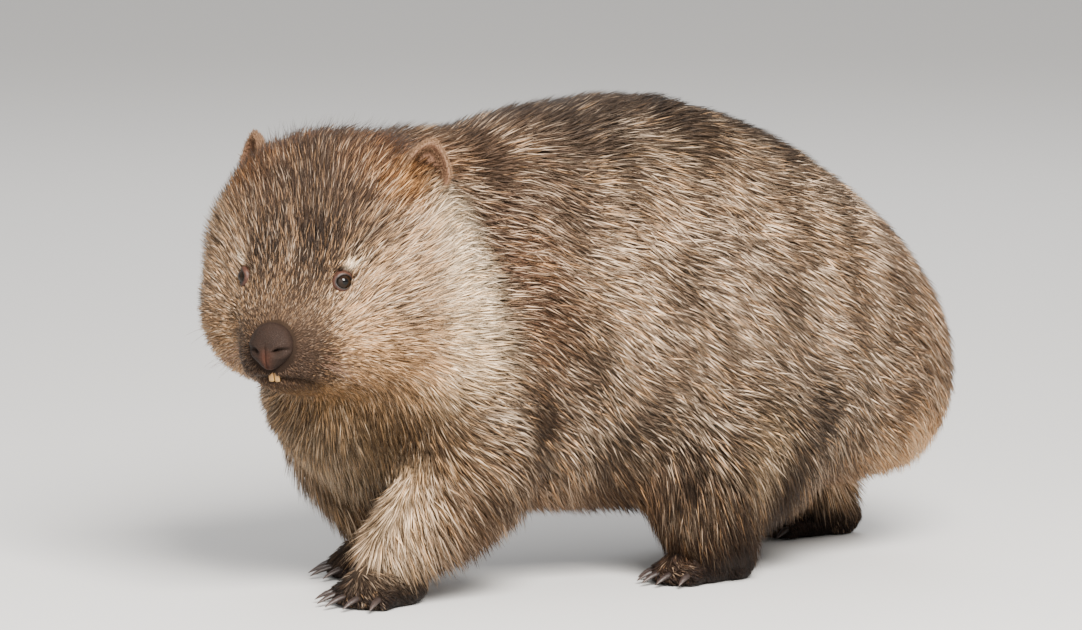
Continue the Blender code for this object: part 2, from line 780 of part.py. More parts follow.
def build_teeth(head, jaw):
    """The two upper front teeth, which show below the lip."""
    wide, deep, tall = TOOTH_SIZE
    teeth = []
    cutters = []
    for side, name in ((1, "tooth_left"), (-1, "tooth_right")):
        for swell, title, made in ((0.0, name, teeth), (GAP, "pocket", cutters)):
            bm = bmesh.new()
            bmesh.ops.create_cube(bm, size=1.0)
            for vert in bm.verts:
                taper = TOOTH_TAPER if vert.co.z < 0 else 1.0
                vert.co.x *= (wide + 2 * swell) * taper
                vert.co.y *= deep * taper + 2 * swell
                vert.co.z *= tall + 2 * swell
            forward, _, up = TOOTH_AT
            centre = head_point(forward, side * (wide + GAP) / 2, up)
            place = Matrix.Translation(centre) @ Matrix.Rotation(HEAD_TURN, 4, "Z")
            place = place @ Matrix.Rotation(TOOTH_TILT, 4, "X")
            bmesh.ops.transform(bm, matrix=place, verts=bm.verts)
            bmesh.ops.triangulate(bm, faces=bm.faces)
            made.append(object_from(bm, title))
    for obj in (head, jaw):
        pockets = [swollen(cutter, 0.0, "pocket") for cutter in cutters]
        keep_largest(combine(obj, pockets, "DIFFERENCE"))
    for cutter in cutters:
        bpy.data.objects.remove(cutter)
    return teeth


def build_ear(name, side, head):
    """A rounded triangle of ear, bent round its own length and hollowed to a cup in front."""
    place = Matrix.Translation(head_point(EAR_AT[0], side * EAR_AT[1], EAR_AT[2]))
    place = place @ Matrix.Rotation(HEAD_TURN + side * EAR_SPLAY, 4, "Z")
    place = place @ Matrix.Rotation(side * EAR_LEAN, 4, "Y")
    bm = bmesh.new()
    add_egg(bm, (0, 0, 0), (1, 1, 1))
    cup = bmesh.new()
    add_egg(cup, (0, 0, 0), (1, 1, 1))
    cup_radii = [radius * share for radius, share in zip(EAR_RADII, CUP_SHARES)]
    for made, radii, shift in (
        (bm, EAR_RADII, (0.0, 0.0, 0.0)),
        (cup, cup_radii, (0.0, -EAR_RADII[1] * CUP_FORWARD, -CUP_BELOW)),
    ):
        for vert in made.verts:
            height = vert.co.z
            narrow = 1.0 - EAR_TAPER * max(0.0, height) ** 2
            x = vert.co.x * radii[0] * narrow
            y = vert.co.y * radii[1] - EAR_BEND * x * x
            vert.co = Vector((x, y, height * radii[2])) + Vector(shift)
        bmesh.ops.transform(made, matrix=place, verts=made.verts)
    ear = object_from(bm, name)
    combine(ear, [object_from(cup, "cup"), swollen(head, GAP)], "DIFFERENCE")
    return keep_largest(ear)


def build_tail(torso):
    """The short stub of tail, hidden in the coat of the rump."""
    bm = bmesh.new()
    add_egg(bm, TAIL_AT, TAIL_RADII, Matrix.Rotation(TAIL_TILT, 4, "X"), detail=2)
    tail = object_from(bm, "tail")
    combine(tail, [swollen(torso, GAP)], "DIFFERENCE")
    return keep_largest(tail)


def lie(point, facing):
    """The way the coat lies here: out from the nose over the head, then back and down."""
    from_nose = point - head_point(*NOSE_AT)
    over_head = 1.0 - eased(from_nose.length, *HEAD_WITHIN)
    down = LIES_DOWN
    down += LIES_DOWN_ON_LEGS * eased(LEGS_BELOW[0] - point.z, 0.0, LEGS_BELOW[1])
    down += LIES_DOWN_ON_RUMP * eased(point.y, *RUMP_BEHIND)
    flow = Vector((0.0, LIES_BACK, -down)).normalized()
    way = from_nose.normalized() * over_head + flow * (1.0 - over_head)
    way -= facing * way.dot(facing)
    return way.normalized()


def spread_points(core, own, low, high, spacing, draw):
    """Places on the core where this node's skin is, none nearer another than the spacing."""
    points = []
    for _ in range(LOCK_DRAWS):
        drawn = Vector([draw.uniform(low[i], high[i]) for i in range(3)])
        point = core.find_nearest(drawn)[0]
        if own.find_nearest(point)[3] > GAP:
            continue
        if all((point - other).length > spacing for other in points):
            points.append(point)
    return points


def lock_points(core, root, length, width, turn):
    """Sections of one flat lock, as left, ridge and right, then its tip. It bends with the core.

    Where the core turns too sharply for a lock, there are none.
    """
    at, facing = core.find_nearest(root)[:2]
    gone = 0.0
    rings = []
    before = None
    for share, wide, thick, lift in LOCK_STATIONS + ((1.0, 0.0, 0.0, LOCK_TIP_LIFT),):
        way = Matrix.Rotation(turn, 3, facing) @ lie(at, facing)
        at, turned = core.find_nearest(at + way * (share - gone) * length)[:2]
        way = (way - turned * way.dot(turned)).normalized()
        if turned.dot(facing) < LOCK_STRAIGHT or (before and way.dot(before) < LOCK_STRAIGHT):
            return None, None
        before = way
        facing = turned
        gone = share
        side = facing.cross(way)
        rise = coat_rise(at) * (1.0 - CORE_SHARE)
        low = lift * rise if rings else -LOCK_SINK
        if wide == 0.0:
            return rings, at + facing * low
        ring = []
        for sign in (-1, 1):
            edge, out = core.find_nearest(at + side * sign * width * wide / 2)[:2]
            if out.dot(facing) < LOCK_STRAIGHT:
                return None, None
            ring.append(edge + out * low)
        ring.insert(1, at + facing * (low + thick * rise))
        rings.append(ring)


def lock_object(rings, tip, swell=0.0):
    """One closed lock, or the room round it if it is swollen."""
    bm = bmesh.new()
    rows = []
    for left, ridge, right in rings:
        across = (right - left).normalized() * swell
        up = (ridge - (left + right) / 2).normalized() * swell
        row = (left - across - up, ridge + up, right + across - up)
        rows.append([bm.verts.new(point) for point in row])
    end = bm.verts.new(tip + (tip - rings[-1][1]).normalized() * swell)
    bm.faces.new(rows[0][::-1])
    for first, second in zip(rows, rows[1:]):
        for i, j in ((0, 1), (1, 2), (2, 0)):
            bm.faces.new((first[i], first[j], second[j]))
            bm.faces.new((first[i], second[j], second[i]))
    for i, j in ((0, 1), (1, 2), (2, 0)):
        bm.faces.new((rows[-1][i], rows[-1][j], end))
    return bm


def is_clear(rings, tip, others):
    """Whether a lock stays over the floor and out of every other node, with room to spare."""
    points = [point for ring in rings for point in ring] + [tip]
    if min(point.z for point in points) < LOCK_CLEAR:
        return False
    room = lock_object(rings, tip, LOCK_CLEAR)
    tree = BVHTree.FromBMesh(room)
    room.free()
    return not any(tree.overlap(other) for other in others)


def lighten(obj, others, triangles):
    """Takes out the needless small faces that joining leaves, but none near another node."""
    obj.modifiers.new("Faces", "TRIANGULATE")
    apply_modifiers(obj)
    free = [
        vert.index
        for vert in obj.data.vertices
        if all(tree.find_nearest(vert.co, SEAM_KEPT)[0] is None for tree in others)
    ]
    obj.vertex_groups.new(name="coat").add(free, 1.0, "REPLACE")
    fewer = obj.modifiers.new("Fewer", "DECIMATE")
    fewer.ratio = min(1.0, triangles / len(obj.data.polygons))
    fewer.vertex_group = "coat"
    apply_modifiers(obj)
    obj.vertex_groups.clear()
    return obj


def grow_locks(obj, core, others, triangles):
    """Joins locks of coat to a node, each rooted in it and clear of its neighbours."""
    corners = [vert.co for vert in obj.data.vertices]
    low = [min(corner[i] for corner in corners) for i in range(3)]
    high = [max(corner[i] for corner in corners) for i in range(3)]
    spacing, length, width = LOCKS[obj.name]
    draw = random.Random(obj.name)
    locks = []
    for root in spread_points(core, surface_of(obj), low, high, spacing, draw):
        size = 1.0 + draw.uniform(-LOCK_VARIES, LOCK_VARIES)
        turn = draw.uniform(-LOCK_TURNS, LOCK_TURNS)
        if coat_rise(root) < LOCK_LEAST_RISE:
            continue
        for shorter in LOCK_SHORTER:
            rings, tip = lock_points(core, root, length * size * shorter, width * size, turn)
            if rings and is_clear(rings, tip, others):
                locks.append(object_from(lock_object(rings, tip), "lock"))
                break
    keep_largest(combine(obj, locks, "UNION"))
    return lighten(obj, others, triangles)


def material(name, colour, roughness):
    """A plain finish of one colour."""
    made = bpy.data.materials.new(name)
    made.use_nodes = True
    surface = made.node_tree.nodes["Principled BSDF"]
    surface.inputs["Base Color"].default_value = (*colour, 1.0)
    surface.inputs["Roughness"].default_value = roughness
    made.diffuse_color = (*colour, 1.0)
    return made


def finish(nodes):
    """Gives each node its material and smooth faces, and stands the animal on the origin."""
    looks = {
        "claw": CLAW_HORN,
        "paw": PAW_SKIN,
        "foot": PAW_SKIN,
        "nose": NOSE_SKIN,
        "eye": EYE_GLOSS,
        "ear": EAR_SKIN,
        "tooth": TOOTH_ENAMEL,
        "head": FACE_FUR,
        "jaw": FACE_FUR,
    }
    corners = [vert.co for obj in nodes for vert in obj.data.vertices]
    low = Vector([min(corner[i] for corner in corners) for i in range(3)])
    high = Vector([max(corner[i] for corner in corners) for i in range(3)])
    middle = (low + high) / 2
    stand = bpy.data.objects.new("wombat", None)
    bpy.context.scene.collection.objects.link(stand)
    stand.location = (-middle.x, -middle.y, -low.z)
    for obj in nodes:
        obj.parent = stand
        colour, roughness = next(
            (look for word, look in looks.items() if word in obj.name.split("_")), FUR
        )
        obj.data.materials.clear()
        obj.data.materials.append(material(obj.name, colour, roughness))
        obj.data.shade_smooth()
        obj.data.set_sharp_from_angle(angle=SHARP_ANGLE)
    bpy.context.view_layer.update()


def main():
    """Builds the nodes, then grows the coat's locks on those of flesh."""
    for obj in list(bpy.data.objects):
        bpy.data.objects.remove(obj)
    flesh = build_flesh()
    core = surface_of(flesh)
    parts = part_flesh(flesh)
    head = parts["head"]
    nodes = []
    for name in LEGS:
        trim(parts[name], (0, 0, ANKLE_CUT), (0, 0, 1))
    nodes += build_paw("paw_left", "foreleg_left", FORE_TOE_TURN, FORE_PAW)
    nodes += build_paw("paw_right", "foreleg_right", -FORE_TOE_TURN, FORE_PAW)
    nodes += build_paw("foot_left", "hindleg_left", HIND_TOE_TURN, HIND_FOOT)
    nodes += build_paw("foot_right", "hindleg_right", -HIND_TOE_TURN, HIND_FOOT)
    nodes.append(build_tail(parts["torso"]))
    nodes.append(build_ear("ear_left", 1, head))
    nodes.append(build_ear("ear_right", -1, head))
    nodes.append(build_nose(head))
    nodes += build_teeth(head, parts["jaw"])
    nodes.append(build_eye("eye_left", 1, head))
    nodes.append(build_eye("eye_right", -1, head))
    nodes += parts.values()
    trees = {obj.name: surface_of(obj) for obj in nodes}
    for name in LOCKS:
        others = [tree for other, tree in trees.items() if other != name]
        grow_locks(parts[name], core, others, COAT_TRIANGLES.get(name, LEG_TRIANGLES))
        trees[name] = surface_of(parts[name])
    finish(nodes)


main()
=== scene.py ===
# %% [markdown]
# # A common wombat at life size
#
# A wombat is a barrel of an animal on short legs: a wide flat head, a bare nose pad, small ears,
# and a coarse grizzled coat. Each hair is dark at its root and pale at its tip, and hairs gather
# into small wisps. This lesson builds the animal in two layers. The first is one smooth skin, made
# by fusing simple shapes. The second is the coat: more than two hundred thousand thin wisps of
# mesh, laid along the body in the way that real fur lies. Eyes, lids, nose, teeth, ears, claws and
# whiskers are pieces of their own, because each has another surface.

import itertools
import json
import math
import random

import bmesh
import bpy
import numpy as np
from mathutils import Matrix, Vector
from mathutils.bvhtree import BVHTree

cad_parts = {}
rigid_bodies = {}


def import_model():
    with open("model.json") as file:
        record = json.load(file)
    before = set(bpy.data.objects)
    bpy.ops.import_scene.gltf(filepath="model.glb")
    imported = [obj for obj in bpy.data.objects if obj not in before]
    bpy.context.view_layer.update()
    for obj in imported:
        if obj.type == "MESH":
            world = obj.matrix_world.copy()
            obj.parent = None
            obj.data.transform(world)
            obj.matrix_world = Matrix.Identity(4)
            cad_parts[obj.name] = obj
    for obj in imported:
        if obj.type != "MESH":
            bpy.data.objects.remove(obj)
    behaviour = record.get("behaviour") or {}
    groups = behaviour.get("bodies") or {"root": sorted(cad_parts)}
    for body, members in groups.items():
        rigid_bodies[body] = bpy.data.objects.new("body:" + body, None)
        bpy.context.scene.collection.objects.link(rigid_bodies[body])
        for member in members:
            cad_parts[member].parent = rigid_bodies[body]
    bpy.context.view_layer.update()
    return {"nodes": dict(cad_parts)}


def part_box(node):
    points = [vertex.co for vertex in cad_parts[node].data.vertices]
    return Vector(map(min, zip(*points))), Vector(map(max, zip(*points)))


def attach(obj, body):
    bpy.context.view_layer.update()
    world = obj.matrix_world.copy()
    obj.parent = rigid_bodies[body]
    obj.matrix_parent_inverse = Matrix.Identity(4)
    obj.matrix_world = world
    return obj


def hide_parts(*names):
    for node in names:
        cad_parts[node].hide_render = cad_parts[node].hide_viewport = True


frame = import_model()
print("frame:", len(frame["nodes"]), "nodes")

# %% [markdown]
# ## Two sets of directions
#
# The trunk runs along Y, nose end towards -Y. The head is turned to the animal's left, so its
# features are easier to place along its own forward, left and up. One function turns such a
# place into a point, and its inverse reads a point as the head sees it. Both work on whole arrays
# of points at once, which keeps a coat of many thousand wisps quick to make.

# %% The head's own directions
HEAD_AT = np.array((0.056, -0.300, 0.0))
HEAD_TURN = math.radians(35)
TURN_COS, TURN_SIN = math.cos(HEAD_TURN), math.sin(HEAD_TURN)


def head_turned(forward, left, up):
    """A direction given along the head's own forward, left and up."""
    across, back = left, -forward
    return np.stack(
        [
            TURN_COS * across - TURN_SIN * back,
            TURN_SIN * across + TURN_COS * back,
            up + 0.0 * across,
        ],
        axis=-1,
    )


def head_point(forward, left, up):
    """A point given from the ground below the head's centre."""
    return HEAD_AT + head_turned(np.asarray(forward, float), np.asarray(left, float), up)


def as_head_sees(points):
    """Forward, left and up of points, from the ground below the head's centre."""
    away = points - HEAD_AT
    left = TURN_COS * away[..., 0] + TURN_SIN * away[..., 1]
    back = -TURN_SIN * away[..., 0] + TURN_COS * away[..., 1]
    return -back, left, away[..., 2]


print("nose points to", head_turned(1.0, 0.0, 0.0).round(3))

# %% Smooth changes and simple measures


def eased(value):
    """Runs smoothly from 0 to 1 as the value does, and stays there."""
    held = np.clip(value, 0.0, 1.0)
    return held * held * (3 - 2 * held)


def rising(value, start, width):
    """Runs smoothly from 0 to 1 as the value goes up from the start by one width."""
    return eased((value - start) / width)


def falling(value, start, width):
    """Runs smoothly from 0 to 1 as the value goes down from the start by one width."""
    return eased((start - value) / width)


def hump(*shares):
    """A smooth hump: 1 where each share is 0, and fading as one of them passes 1."""
    return np.exp(-sum(share**2 for share in shares))


def mixed(first, second, share):
    """The first where the share is 0, the second where it is 1."""
    return first + (second - first) * share


def unit(vectors):
    """Each vector at a length of one."""
    return vectors / np.maximum(np.linalg.norm(vectors, axis=-1, keepdims=True), 1e-9)


def how_far(points, place):
    """How far each point lies from one place."""
    return np.linalg.norm(points - place, axis=-1)


print("halfway up a fade:", eased(0.5), "and a quarter up:", eased(0.25))

# %% [markdown]
# ## Where the model stands in the frame
#
# The frame has its origin on the ground under the middle of the whole animal. The sizes below
# are given from the middle of the trunk, so everything is moved by one small shift at the end. A
# front tooth is a block whose place is known exactly in both, which tells the shift.

# %% Find the shift from a tooth
TOOTH_SIZE = (0.0052, 0.0030, 0.0150)
TOOTH_AT = (0.0915, 0.0, 0.2105)
TOOTH_TILT = math.radians(8)
SOLID_TIP_TAPER = 0.84
GAP = 0.0003


def tooth_place(side):
    """The matrix that puts a tooth where it grows."""
    centre = head_point(TOOTH_AT[0], side * (TOOTH_SIZE[0] + GAP) / 2, TOOTH_AT[2])
    turn = Matrix.Rotation(HEAD_TURN, 4, "Z") @ Matrix.Rotation(TOOTH_TILT, 4, "X")
    return Matrix.Translation(Vector(centre)) @ turn


corners = []
for end, taper in ((-1, SOLID_TIP_TAPER), (1, 1.0)):
    for x in (-1, 1):
        for y in (-1, 1):
            corner = (x * TOOTH_SIZE[0] * taper, y * TOOTH_SIZE[1] * taper, end * TOOTH_SIZE[2])
            corners.append(tuple(tooth_place(1) @ (Vector(corner) / 2)))
corners = np.array(corners)
low, high = (np.array(tuple(corner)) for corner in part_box("tooth_left"))
SHIFT = (low + high) / 2 - (corners.min(axis=0) + corners.max(axis=0)) / 2
print("shift", SHIFT.round(5))

# %% [markdown]
# ## From arrays to objects
#
# Every piece ends as a mesh object that rides on the one body of this still model. Small helpers
# turn arrays of points and faces into objects, read them back, and run a modifier for good.

# %% Make objects


def add_to_scene(name, data):
    """An object that shows this data, linked to the scene."""
    made = bpy.data.objects.new(name, data)
    bpy.context.scene.collection.objects.link(made)
    return made


def object_from(bm, name):
    """Closes a bmesh into an object whose faces point out."""
    bmesh.ops.recalc_face_normals(bm, faces=bm.faces)
    mesh = bpy.data.meshes.new(name)
    bm.to_mesh(mesh)
    bm.free()
    return add_to_scene(name, mesh)


def apply_modifiers(obj):
    """Replaces the object's mesh with the one that its modifiers make."""
    bpy.context.view_layer.update()
    graph = bpy.context.evaluated_depsgraph_get()
    mesh = bpy.data.meshes.new_from_object(obj.evaluated_get(graph))
    obj.modifiers.clear()
    obj.data = mesh
    return obj


print("objects can be made")

# %% Read and move corners


def rows_of(items, what, kind=np.float32, wide=3):
    """One value of many items at once, as rows of an array."""
    found = np.empty(len(items) * wide, kind)
    items.foreach_get(what, found)
    return found.reshape(-1, wide)


def points_of(mesh):
    """The mesh's corners as an array."""
    return rows_of(mesh.vertices, "co").astype(float)


def set_points(mesh, points):
    """Moves the mesh's corners to these places."""
    mesh.vertices.foreach_set("co", np.ascontiguousarray(points, np.float32).ravel())
    mesh.update()


def normals_of(mesh):
    """The direction in which the mesh faces at each corner."""
    return rows_of(mesh.vertices, "normal").astype(float)


def triangles_of(mesh):
    """The mesh as triangles: their corners, and their corners' loops."""
    mesh.calc_loop_triangles()
    found = mesh.loop_triangles
    return rows_of(found, "vertices", np.int32), rows_of(found, "loops", np.int32)


print("corners can be read")

# %% Put a finished piece in the frame


def settle(obj, slot, material, *nodes):
    """Puts a finished piece in the frame: its place, finish, body and the nodes it stands for."""
    set_points(obj.data, points_of(obj.data) + SHIFT)
    obj.data.materials.clear()
    obj.data.materials.append(material)
    obj.data.shade_smooth()
    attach(obj, "root")
    if nodes:
        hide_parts(*nodes)
    return obj


print("pieces can be settled")

# %% [markdown]
# ## The camera
#
# The picture was taken with a long lens from low down, a little in front of the animal's left
# side, so the camera stands far off and sees a narrow angle. A small shift places the animal
# in the frame without turning the camera.

# %% Place the camera
PHOTO_WIDTH, PHOTO_HEIGHT = 1082, 630
SENSOR = 36.0
CAMERA_AZIMUTH, CAMERA_ELEVATION = math.radians(60), math.radians(7)
CAMERA_DISTANCE = 7.0
CAMERA_SEES = 60.0
PIXELS_PER_METRE = 1120.0
TARGET = Vector((0.0, 0.0, 0.2))
TARGET_PIXEL = (590.0, 349.0)

camera = add_to_scene("camera", bpy.data.cameras.new("camera"))
away = Vector(
    (
        math.sin(CAMERA_AZIMUTH) * math.cos(CAMERA_ELEVATION),
        -math.cos(CAMERA_AZIMUTH) * math.cos(CAMERA_ELEVATION),
        math.sin(CAMERA_ELEVATION),
    )
)
camera.location = Vector(SHIFT) + TARGET + away * CAMERA_DISTANCE
camera.rotation_euler = away.to_track_quat("Z", "Y").to_euler()
camera.data.sensor_width = SENSOR
camera.data.lens = SENSOR * PIXELS_PER_METRE * CAMERA_DISTANCE / PHOTO_WIDTH
camera.data.shift_x = (PHOTO_WIDTH / 2 - TARGET_PIXEL[0]) / PHOTO_WIDTH
camera.data.shift_y = (TARGET_PIXEL[1] - PHOTO_HEIGHT / 2) / PHOTO_WIDTH
camera.data.clip_end = CAMERA_SEES
bpy.context.scene.camera = camera
print("lens", round(camera.data.lens, 1), "mm")

# %% [markdown]
# ## The masses of the body
#
# Under the fur a wombat is a few simple masses: a barrel for the trunk, a broad wedge for the
# head, eggs for the cheeks, shoulders and thighs, and tapered rods for the legs. The barrel and
# the wedge are lofts, rows of rounded sections joined into a closed tube. Eggs are stretched
# spheres. A rod is the tightest skin round two balls.

# %% Sections of the trunk and the head
# Along the body, the top, the underside and half the width
TRUNK_STATIONS = (
    (-0.262, 0.345, 0.130, 0.070),
    (-0.215, 0.381, 0.094, 0.112),
    (-0.150, 0.397, 0.083, 0.132),
    (-0.070, 0.414, 0.076, 0.143),
    (0.010, 0.422, 0.071, 0.150),
    (0.055, 0.421, 0.069, 0.151),
    (0.115, 0.405, 0.071, 0.149),
    (0.178, 0.378, 0.074, 0.141),
    (0.234, 0.341, 0.078, 0.128),
    (0.283, 0.300, 0.084, 0.108),
    (0.322, 0.254, 0.096, 0.082),
    (0.346, 0.212, 0.118, 0.050),
    (0.354, 0.185, 0.142, 0.020),
)
HEAD_STATIONS = (
    (-0.120, 0.368, 0.215, 0.082),
    (-0.075, 0.398, 0.196, 0.110),
    (-0.035, 0.407, 0.190, 0.118),
    (-0.003, 0.400, 0.188, 0.110),
    (0.022, 0.377, 0.189, 0.088),
    (0.045, 0.343, 0.191, 0.063),
    (0.065, 0.305, 0.194, 0.047),
    (0.083, 0.272, 0.198, 0.041),
    (0.096, 0.252, 0.208, 0.031),
)
print(len(TRUNK_STATIONS), "trunk sections,", len(HEAD_STATIONS), "head sections")

# %% Tubes, eggs and rods
SECTION_SIDES = 32
SECTION_FULLNESS = 0.86
TRUNK_WIDEST, HEAD_WIDEST = 0.46, 0.42
EGG_DETAIL, ROD_DETAIL = 3, 2


def section(top, underside, half_width, widest):
    """Points (across, up) round one boxy section, widest at this share of its height."""
    middle = mixed(underside, top, widest)
    angles = np.arange(SECTION_SIDES) * 2 * math.pi / SECTION_SIDES
    waves = np.cos(angles), np.sin(angles)
    across, up = (np.sign(wave) * np.abs(wave) ** SECTION_FULLNESS for wave in waves)
    reach = np.where(up > 0, top - middle, middle - underside)
    return half_width * across, middle + reach * up


def bridge(bm, first, second):
    """Joins two closed rows of corners with a band of faces."""
    count = len(first)
    for i in range(count):
        j = (i + 1) % count
        bm.faces.new((first[i], first[j], second[j], second[i]))


def skin_rings(bm, rings, tips=(None, None)):
    """Joins rings of points into a tube, closed by fans round the tips or the ends' middles."""
    rows = [[bm.verts.new(point) for point in ring] for ring in rings]
    for first, second in zip(rows, rows[1:]):
        bridge(bm, first, second)
    for row, tip in zip((rows[0], rows[-1]), tips):
        middle = sum((vert.co for vert in row), Vector()) / len(row)
        top = bm.verts.new(middle if tip is None else tip)
        for i in range(len(row)):
            bm.faces.new((row[i], row[(i + 1) % len(row)], top))


def loft(bm, stations, widest, place):
    """A tube through a row of sections. Place turns along, across and up into a point."""
    rings = []
    for along, top, underside, half_width in stations:
        across, up = section(top, underside, half_width, widest)
        rings.append([Vector(place(along, x, z)) for x, z in zip(across, up)])
    skin_rings(bm, rings)


def add_egg(bm, centre, radii, place=Matrix.Identity(4)):
    """A stretched sphere, turned by place about its own centre."""
    made = bmesh.ops.create_icosphere(bm, subdivisions=EGG_DETAIL, radius=1.0)["verts"]
    shape = Matrix.Translation(Vector(centre)) @ place @ Matrix.Diagonal((*radii, 1.0))
    bmesh.ops.transform(bm, matrix=shape, verts=made)


def add_bone(bm, start, start_radius, end, end_radius):
    """A tapered rod with round ends."""
    corners = []
    for centre, radius in ((start, start_radius), (end, end_radius)):
        ball = bmesh.new()
        bmesh.ops.create_icosphere(ball, subdivisions=ROD_DETAIL, radius=radius)
        corners += [bm.verts.new(Vector(centre) + vert.co) for vert in ball.verts]
        ball.free()
    hull = bmesh.ops.convex_hull(bm, input=corners)
    inside = [item for item in hull["geom_interior"] if isinstance(item, bmesh.types.BMVert)]
    bmesh.ops.delete(bm, geom=inside, context="VERTS")


print("a section has", SECTION_SIDES, "corners")

# %% [markdown]
# ## Trunk, head and legs together
#
# The masses overlap freely here, since the next step melts them into one. Mirrored shapes come
# from a loop over the two sides. The legs are not mirrored: the animal is in mid-step.

# %% Where the masses lie
# Each leg as balls: centre and radius of shoulder or hip, elbow or knee, and ankle
LEGS = {
    "foreleg_left": (
        ((0.092, -0.165, 0.205), 0.066),
        ((0.098, -0.172, 0.122), 0.052),
        ((0.078, -0.240, 0.046), 0.031),
    ),
    "foreleg_right": (
        ((-0.086, -0.180, 0.205), 0.064),
        ((-0.084, -0.205, 0.128), 0.052),
        ((-0.064, -0.168, 0.044), 0.031),
    ),
    "hindleg_left": (
        ((0.074, 0.095, 0.165), 0.084),
        ((0.098, 0.055, 0.108), 0.060),
        ((0.103, 0.064, 0.048), 0.041),
    ),
    "hindleg_right": (
        ((-0.074, 0.190, 0.165), 0.082),
        ((-0.092, 0.220, 0.110), 0.058),
        ((-0.090, 0.292, 0.048), 0.035),
    ),
}
# Eggs as centre and radii. Those of the head are given from the head, for its left side
CHEST_EGGS = (
    ((-0.005, -0.208, 0.168), (0.100, 0.078, 0.082)),
    ((-0.004, -0.236, 0.182), (0.094, 0.074, 0.076)),
)
THROAT_EGG = ((0.048, -0.212, 0.250), (0.096, 0.086, 0.110))
SHOULDER_AT, SHOULDER_RADII = (0.082, -0.160, 0.205), (0.064, 0.090, 0.115)
THIGH_AT, THIGH_RADII = (0.076, 0.155), (0.078, 0.116, 0.112)
THIGH_ALONG = ((1, 0.088), (-1, 0.188))
NECK = ((-0.070, 0.0, 0.296), 0.100, (0.0, -0.170, 0.292), 0.112)
CHIN = ((0.070, 0.0, 0.206), (0.024, 0.021, 0.012))
CHEEK = ((-0.004, 0.056, 0.256), (0.052, 0.056, 0.058))
BROW = ((0.032, 0.033, 0.296), (0.024, 0.030, 0.030))
LIP = ((0.078, 0.018, 0.224), (0.023, 0.021, 0.019))
print(len(LEGS), "legs")

# %% Gather the masses


def add_head_egg(bm, centre, radii, side=1):
    """An egg placed and turned with the head, on one side of it."""
    forward, left, up = centre
    add_egg(bm, head_point(forward, side * left, up), radii, Matrix.Rotation(HEAD_TURN, 4, "Z"))


def trunk_masses(bm):
    """The barrel with its chest, shoulders and thighs."""
    loft(bm, TRUNK_STATIONS, TRUNK_WIDEST, lambda along, x, z: (x, along, z))
    for centre, radii in CHEST_EGGS:
        add_egg(bm, centre, radii)
    for side, along in THIGH_ALONG:
        add_egg(bm, (side * SHOULDER_AT[0], *SHOULDER_AT[1:]), SHOULDER_RADII)
        add_egg(bm, (side * THIGH_AT[0], along, THIGH_AT[1]), THIGH_RADII)


def leg_masses(bm):
    """The upper and the lower bone of each leg."""
    for joints in LEGS.values():
        for (start, start_radius), (end, end_radius) in zip(joints, joints[1:]):
            add_bone(bm, start, start_radius, end, end_radius)


def head_masses(bm):
    """The wedge of the head with its cheeks, brows, lips and throat."""
    loft(bm, HEAD_STATIONS, HEAD_WIDEST, head_point)
    add_bone(bm, head_point(*NECK[0]), *NECK[1:])
    add_egg(bm, *THROAT_EGG)
    add_head_egg(bm, *CHIN)
    for side in (1, -1):
        for centre, radii in (CHEEK, BROW, LIP):
            add_head_egg(bm, centre, radii, side)


masses = bmesh.new()
trunk_masses(masses)
leg_masses(masses)
head_masses(masses)
print("masses:", len(masses.verts), "corners")

# %% [markdown]
# ## Melt the masses into a body
#
# A voxel remesh samples the space round the shapes and wraps one even skin over all of them,
# so every join becomes a soft crease. Smoothing then rounds the creases as muscle and fat do.
# Sculpting by hand could give the same, but named sizes are easier to adjust and repeat.

# %% Fuse the body
BODY_VOXEL = 0.0055
BODY_SMOOTHING = 36


def fused(bm, name, voxel, smoothing):
    """Runs overlapping shapes together into one smooth skin."""
    obj = object_from(bm, name)
    remesh = obj.modifiers.new("Melt", "REMESH")
    remesh.mode = "VOXEL"
    remesh.voxel_size = voxel
    soften = obj.modifiers.new("Soften", "SMOOTH")
    soften.iterations = smoothing
    return apply_modifiers(obj)


body = fused(masses, "body", BODY_VOXEL, BODY_SMOOTHING)
print("body:", len(body.data.vertices), "corners")

# %% [markdown]
# ## Feet
#
# A wombat digs, so its feet are short broad shovels. Each has a pad and five blunt toes that
# fan out a little. Pads are eggs, toes are short rods. They are melted at a finer voxel than the
# trunk, or the gaps between the toes would fill.

# %% Sizes of the feet
PAW_VOXEL = 0.0026
PAW_SMOOTHING = 4
ANKLE_UP, ANKLE_THICKER = 0.35, 1.12
TOE_ROOT_UP, TOE_ROOT_THICKER = 0.012, 1.1
TOE_TIP_UP = 0.0095
CLAW_LIFT, OUTER_CLAW_SHORTER = 0.0012, 0.14
FORE_PAW = {
    "pads": (((0.012, 0.017), (0.031, 0.040, 0.021)),),
    "toe_root": 0.024,
    "toe_reach": 0.051,
    "toe_arc": 0.012,
    "root_spread": 0.022,
    "tip_spread": 0.030,
    "toe_radius": 0.0088,
    "claw_length": 0.026,
}
HIND_FOOT = {
    "pads": (
        ((-0.018, 0.018), (0.022, 0.026, 0.022)),
        ((0.014, 0.015), (0.025, 0.036, 0.018)),
    ),
    "toe_root": 0.026,
    "toe_reach": 0.052,
    "toe_arc": 0.013,
    "root_spread": 0.018,
    "tip_spread": 0.024,
    "toe_radius": 0.0076,
    "claw_length": 0.022,
}
FEET = {
    "paw_left": ("foreleg_left", math.radians(8), FORE_PAW),
    "paw_right": ("foreleg_right", math.radians(-8), FORE_PAW),
    "foot_left": ("hindleg_left", math.radians(4), HIND_FOOT),
    "foot_right": ("hindleg_right", math.radians(-4), HIND_FOOT),
}
print(len(FEET), "feet")

# %% Melt the four feet
claw_roots = {}


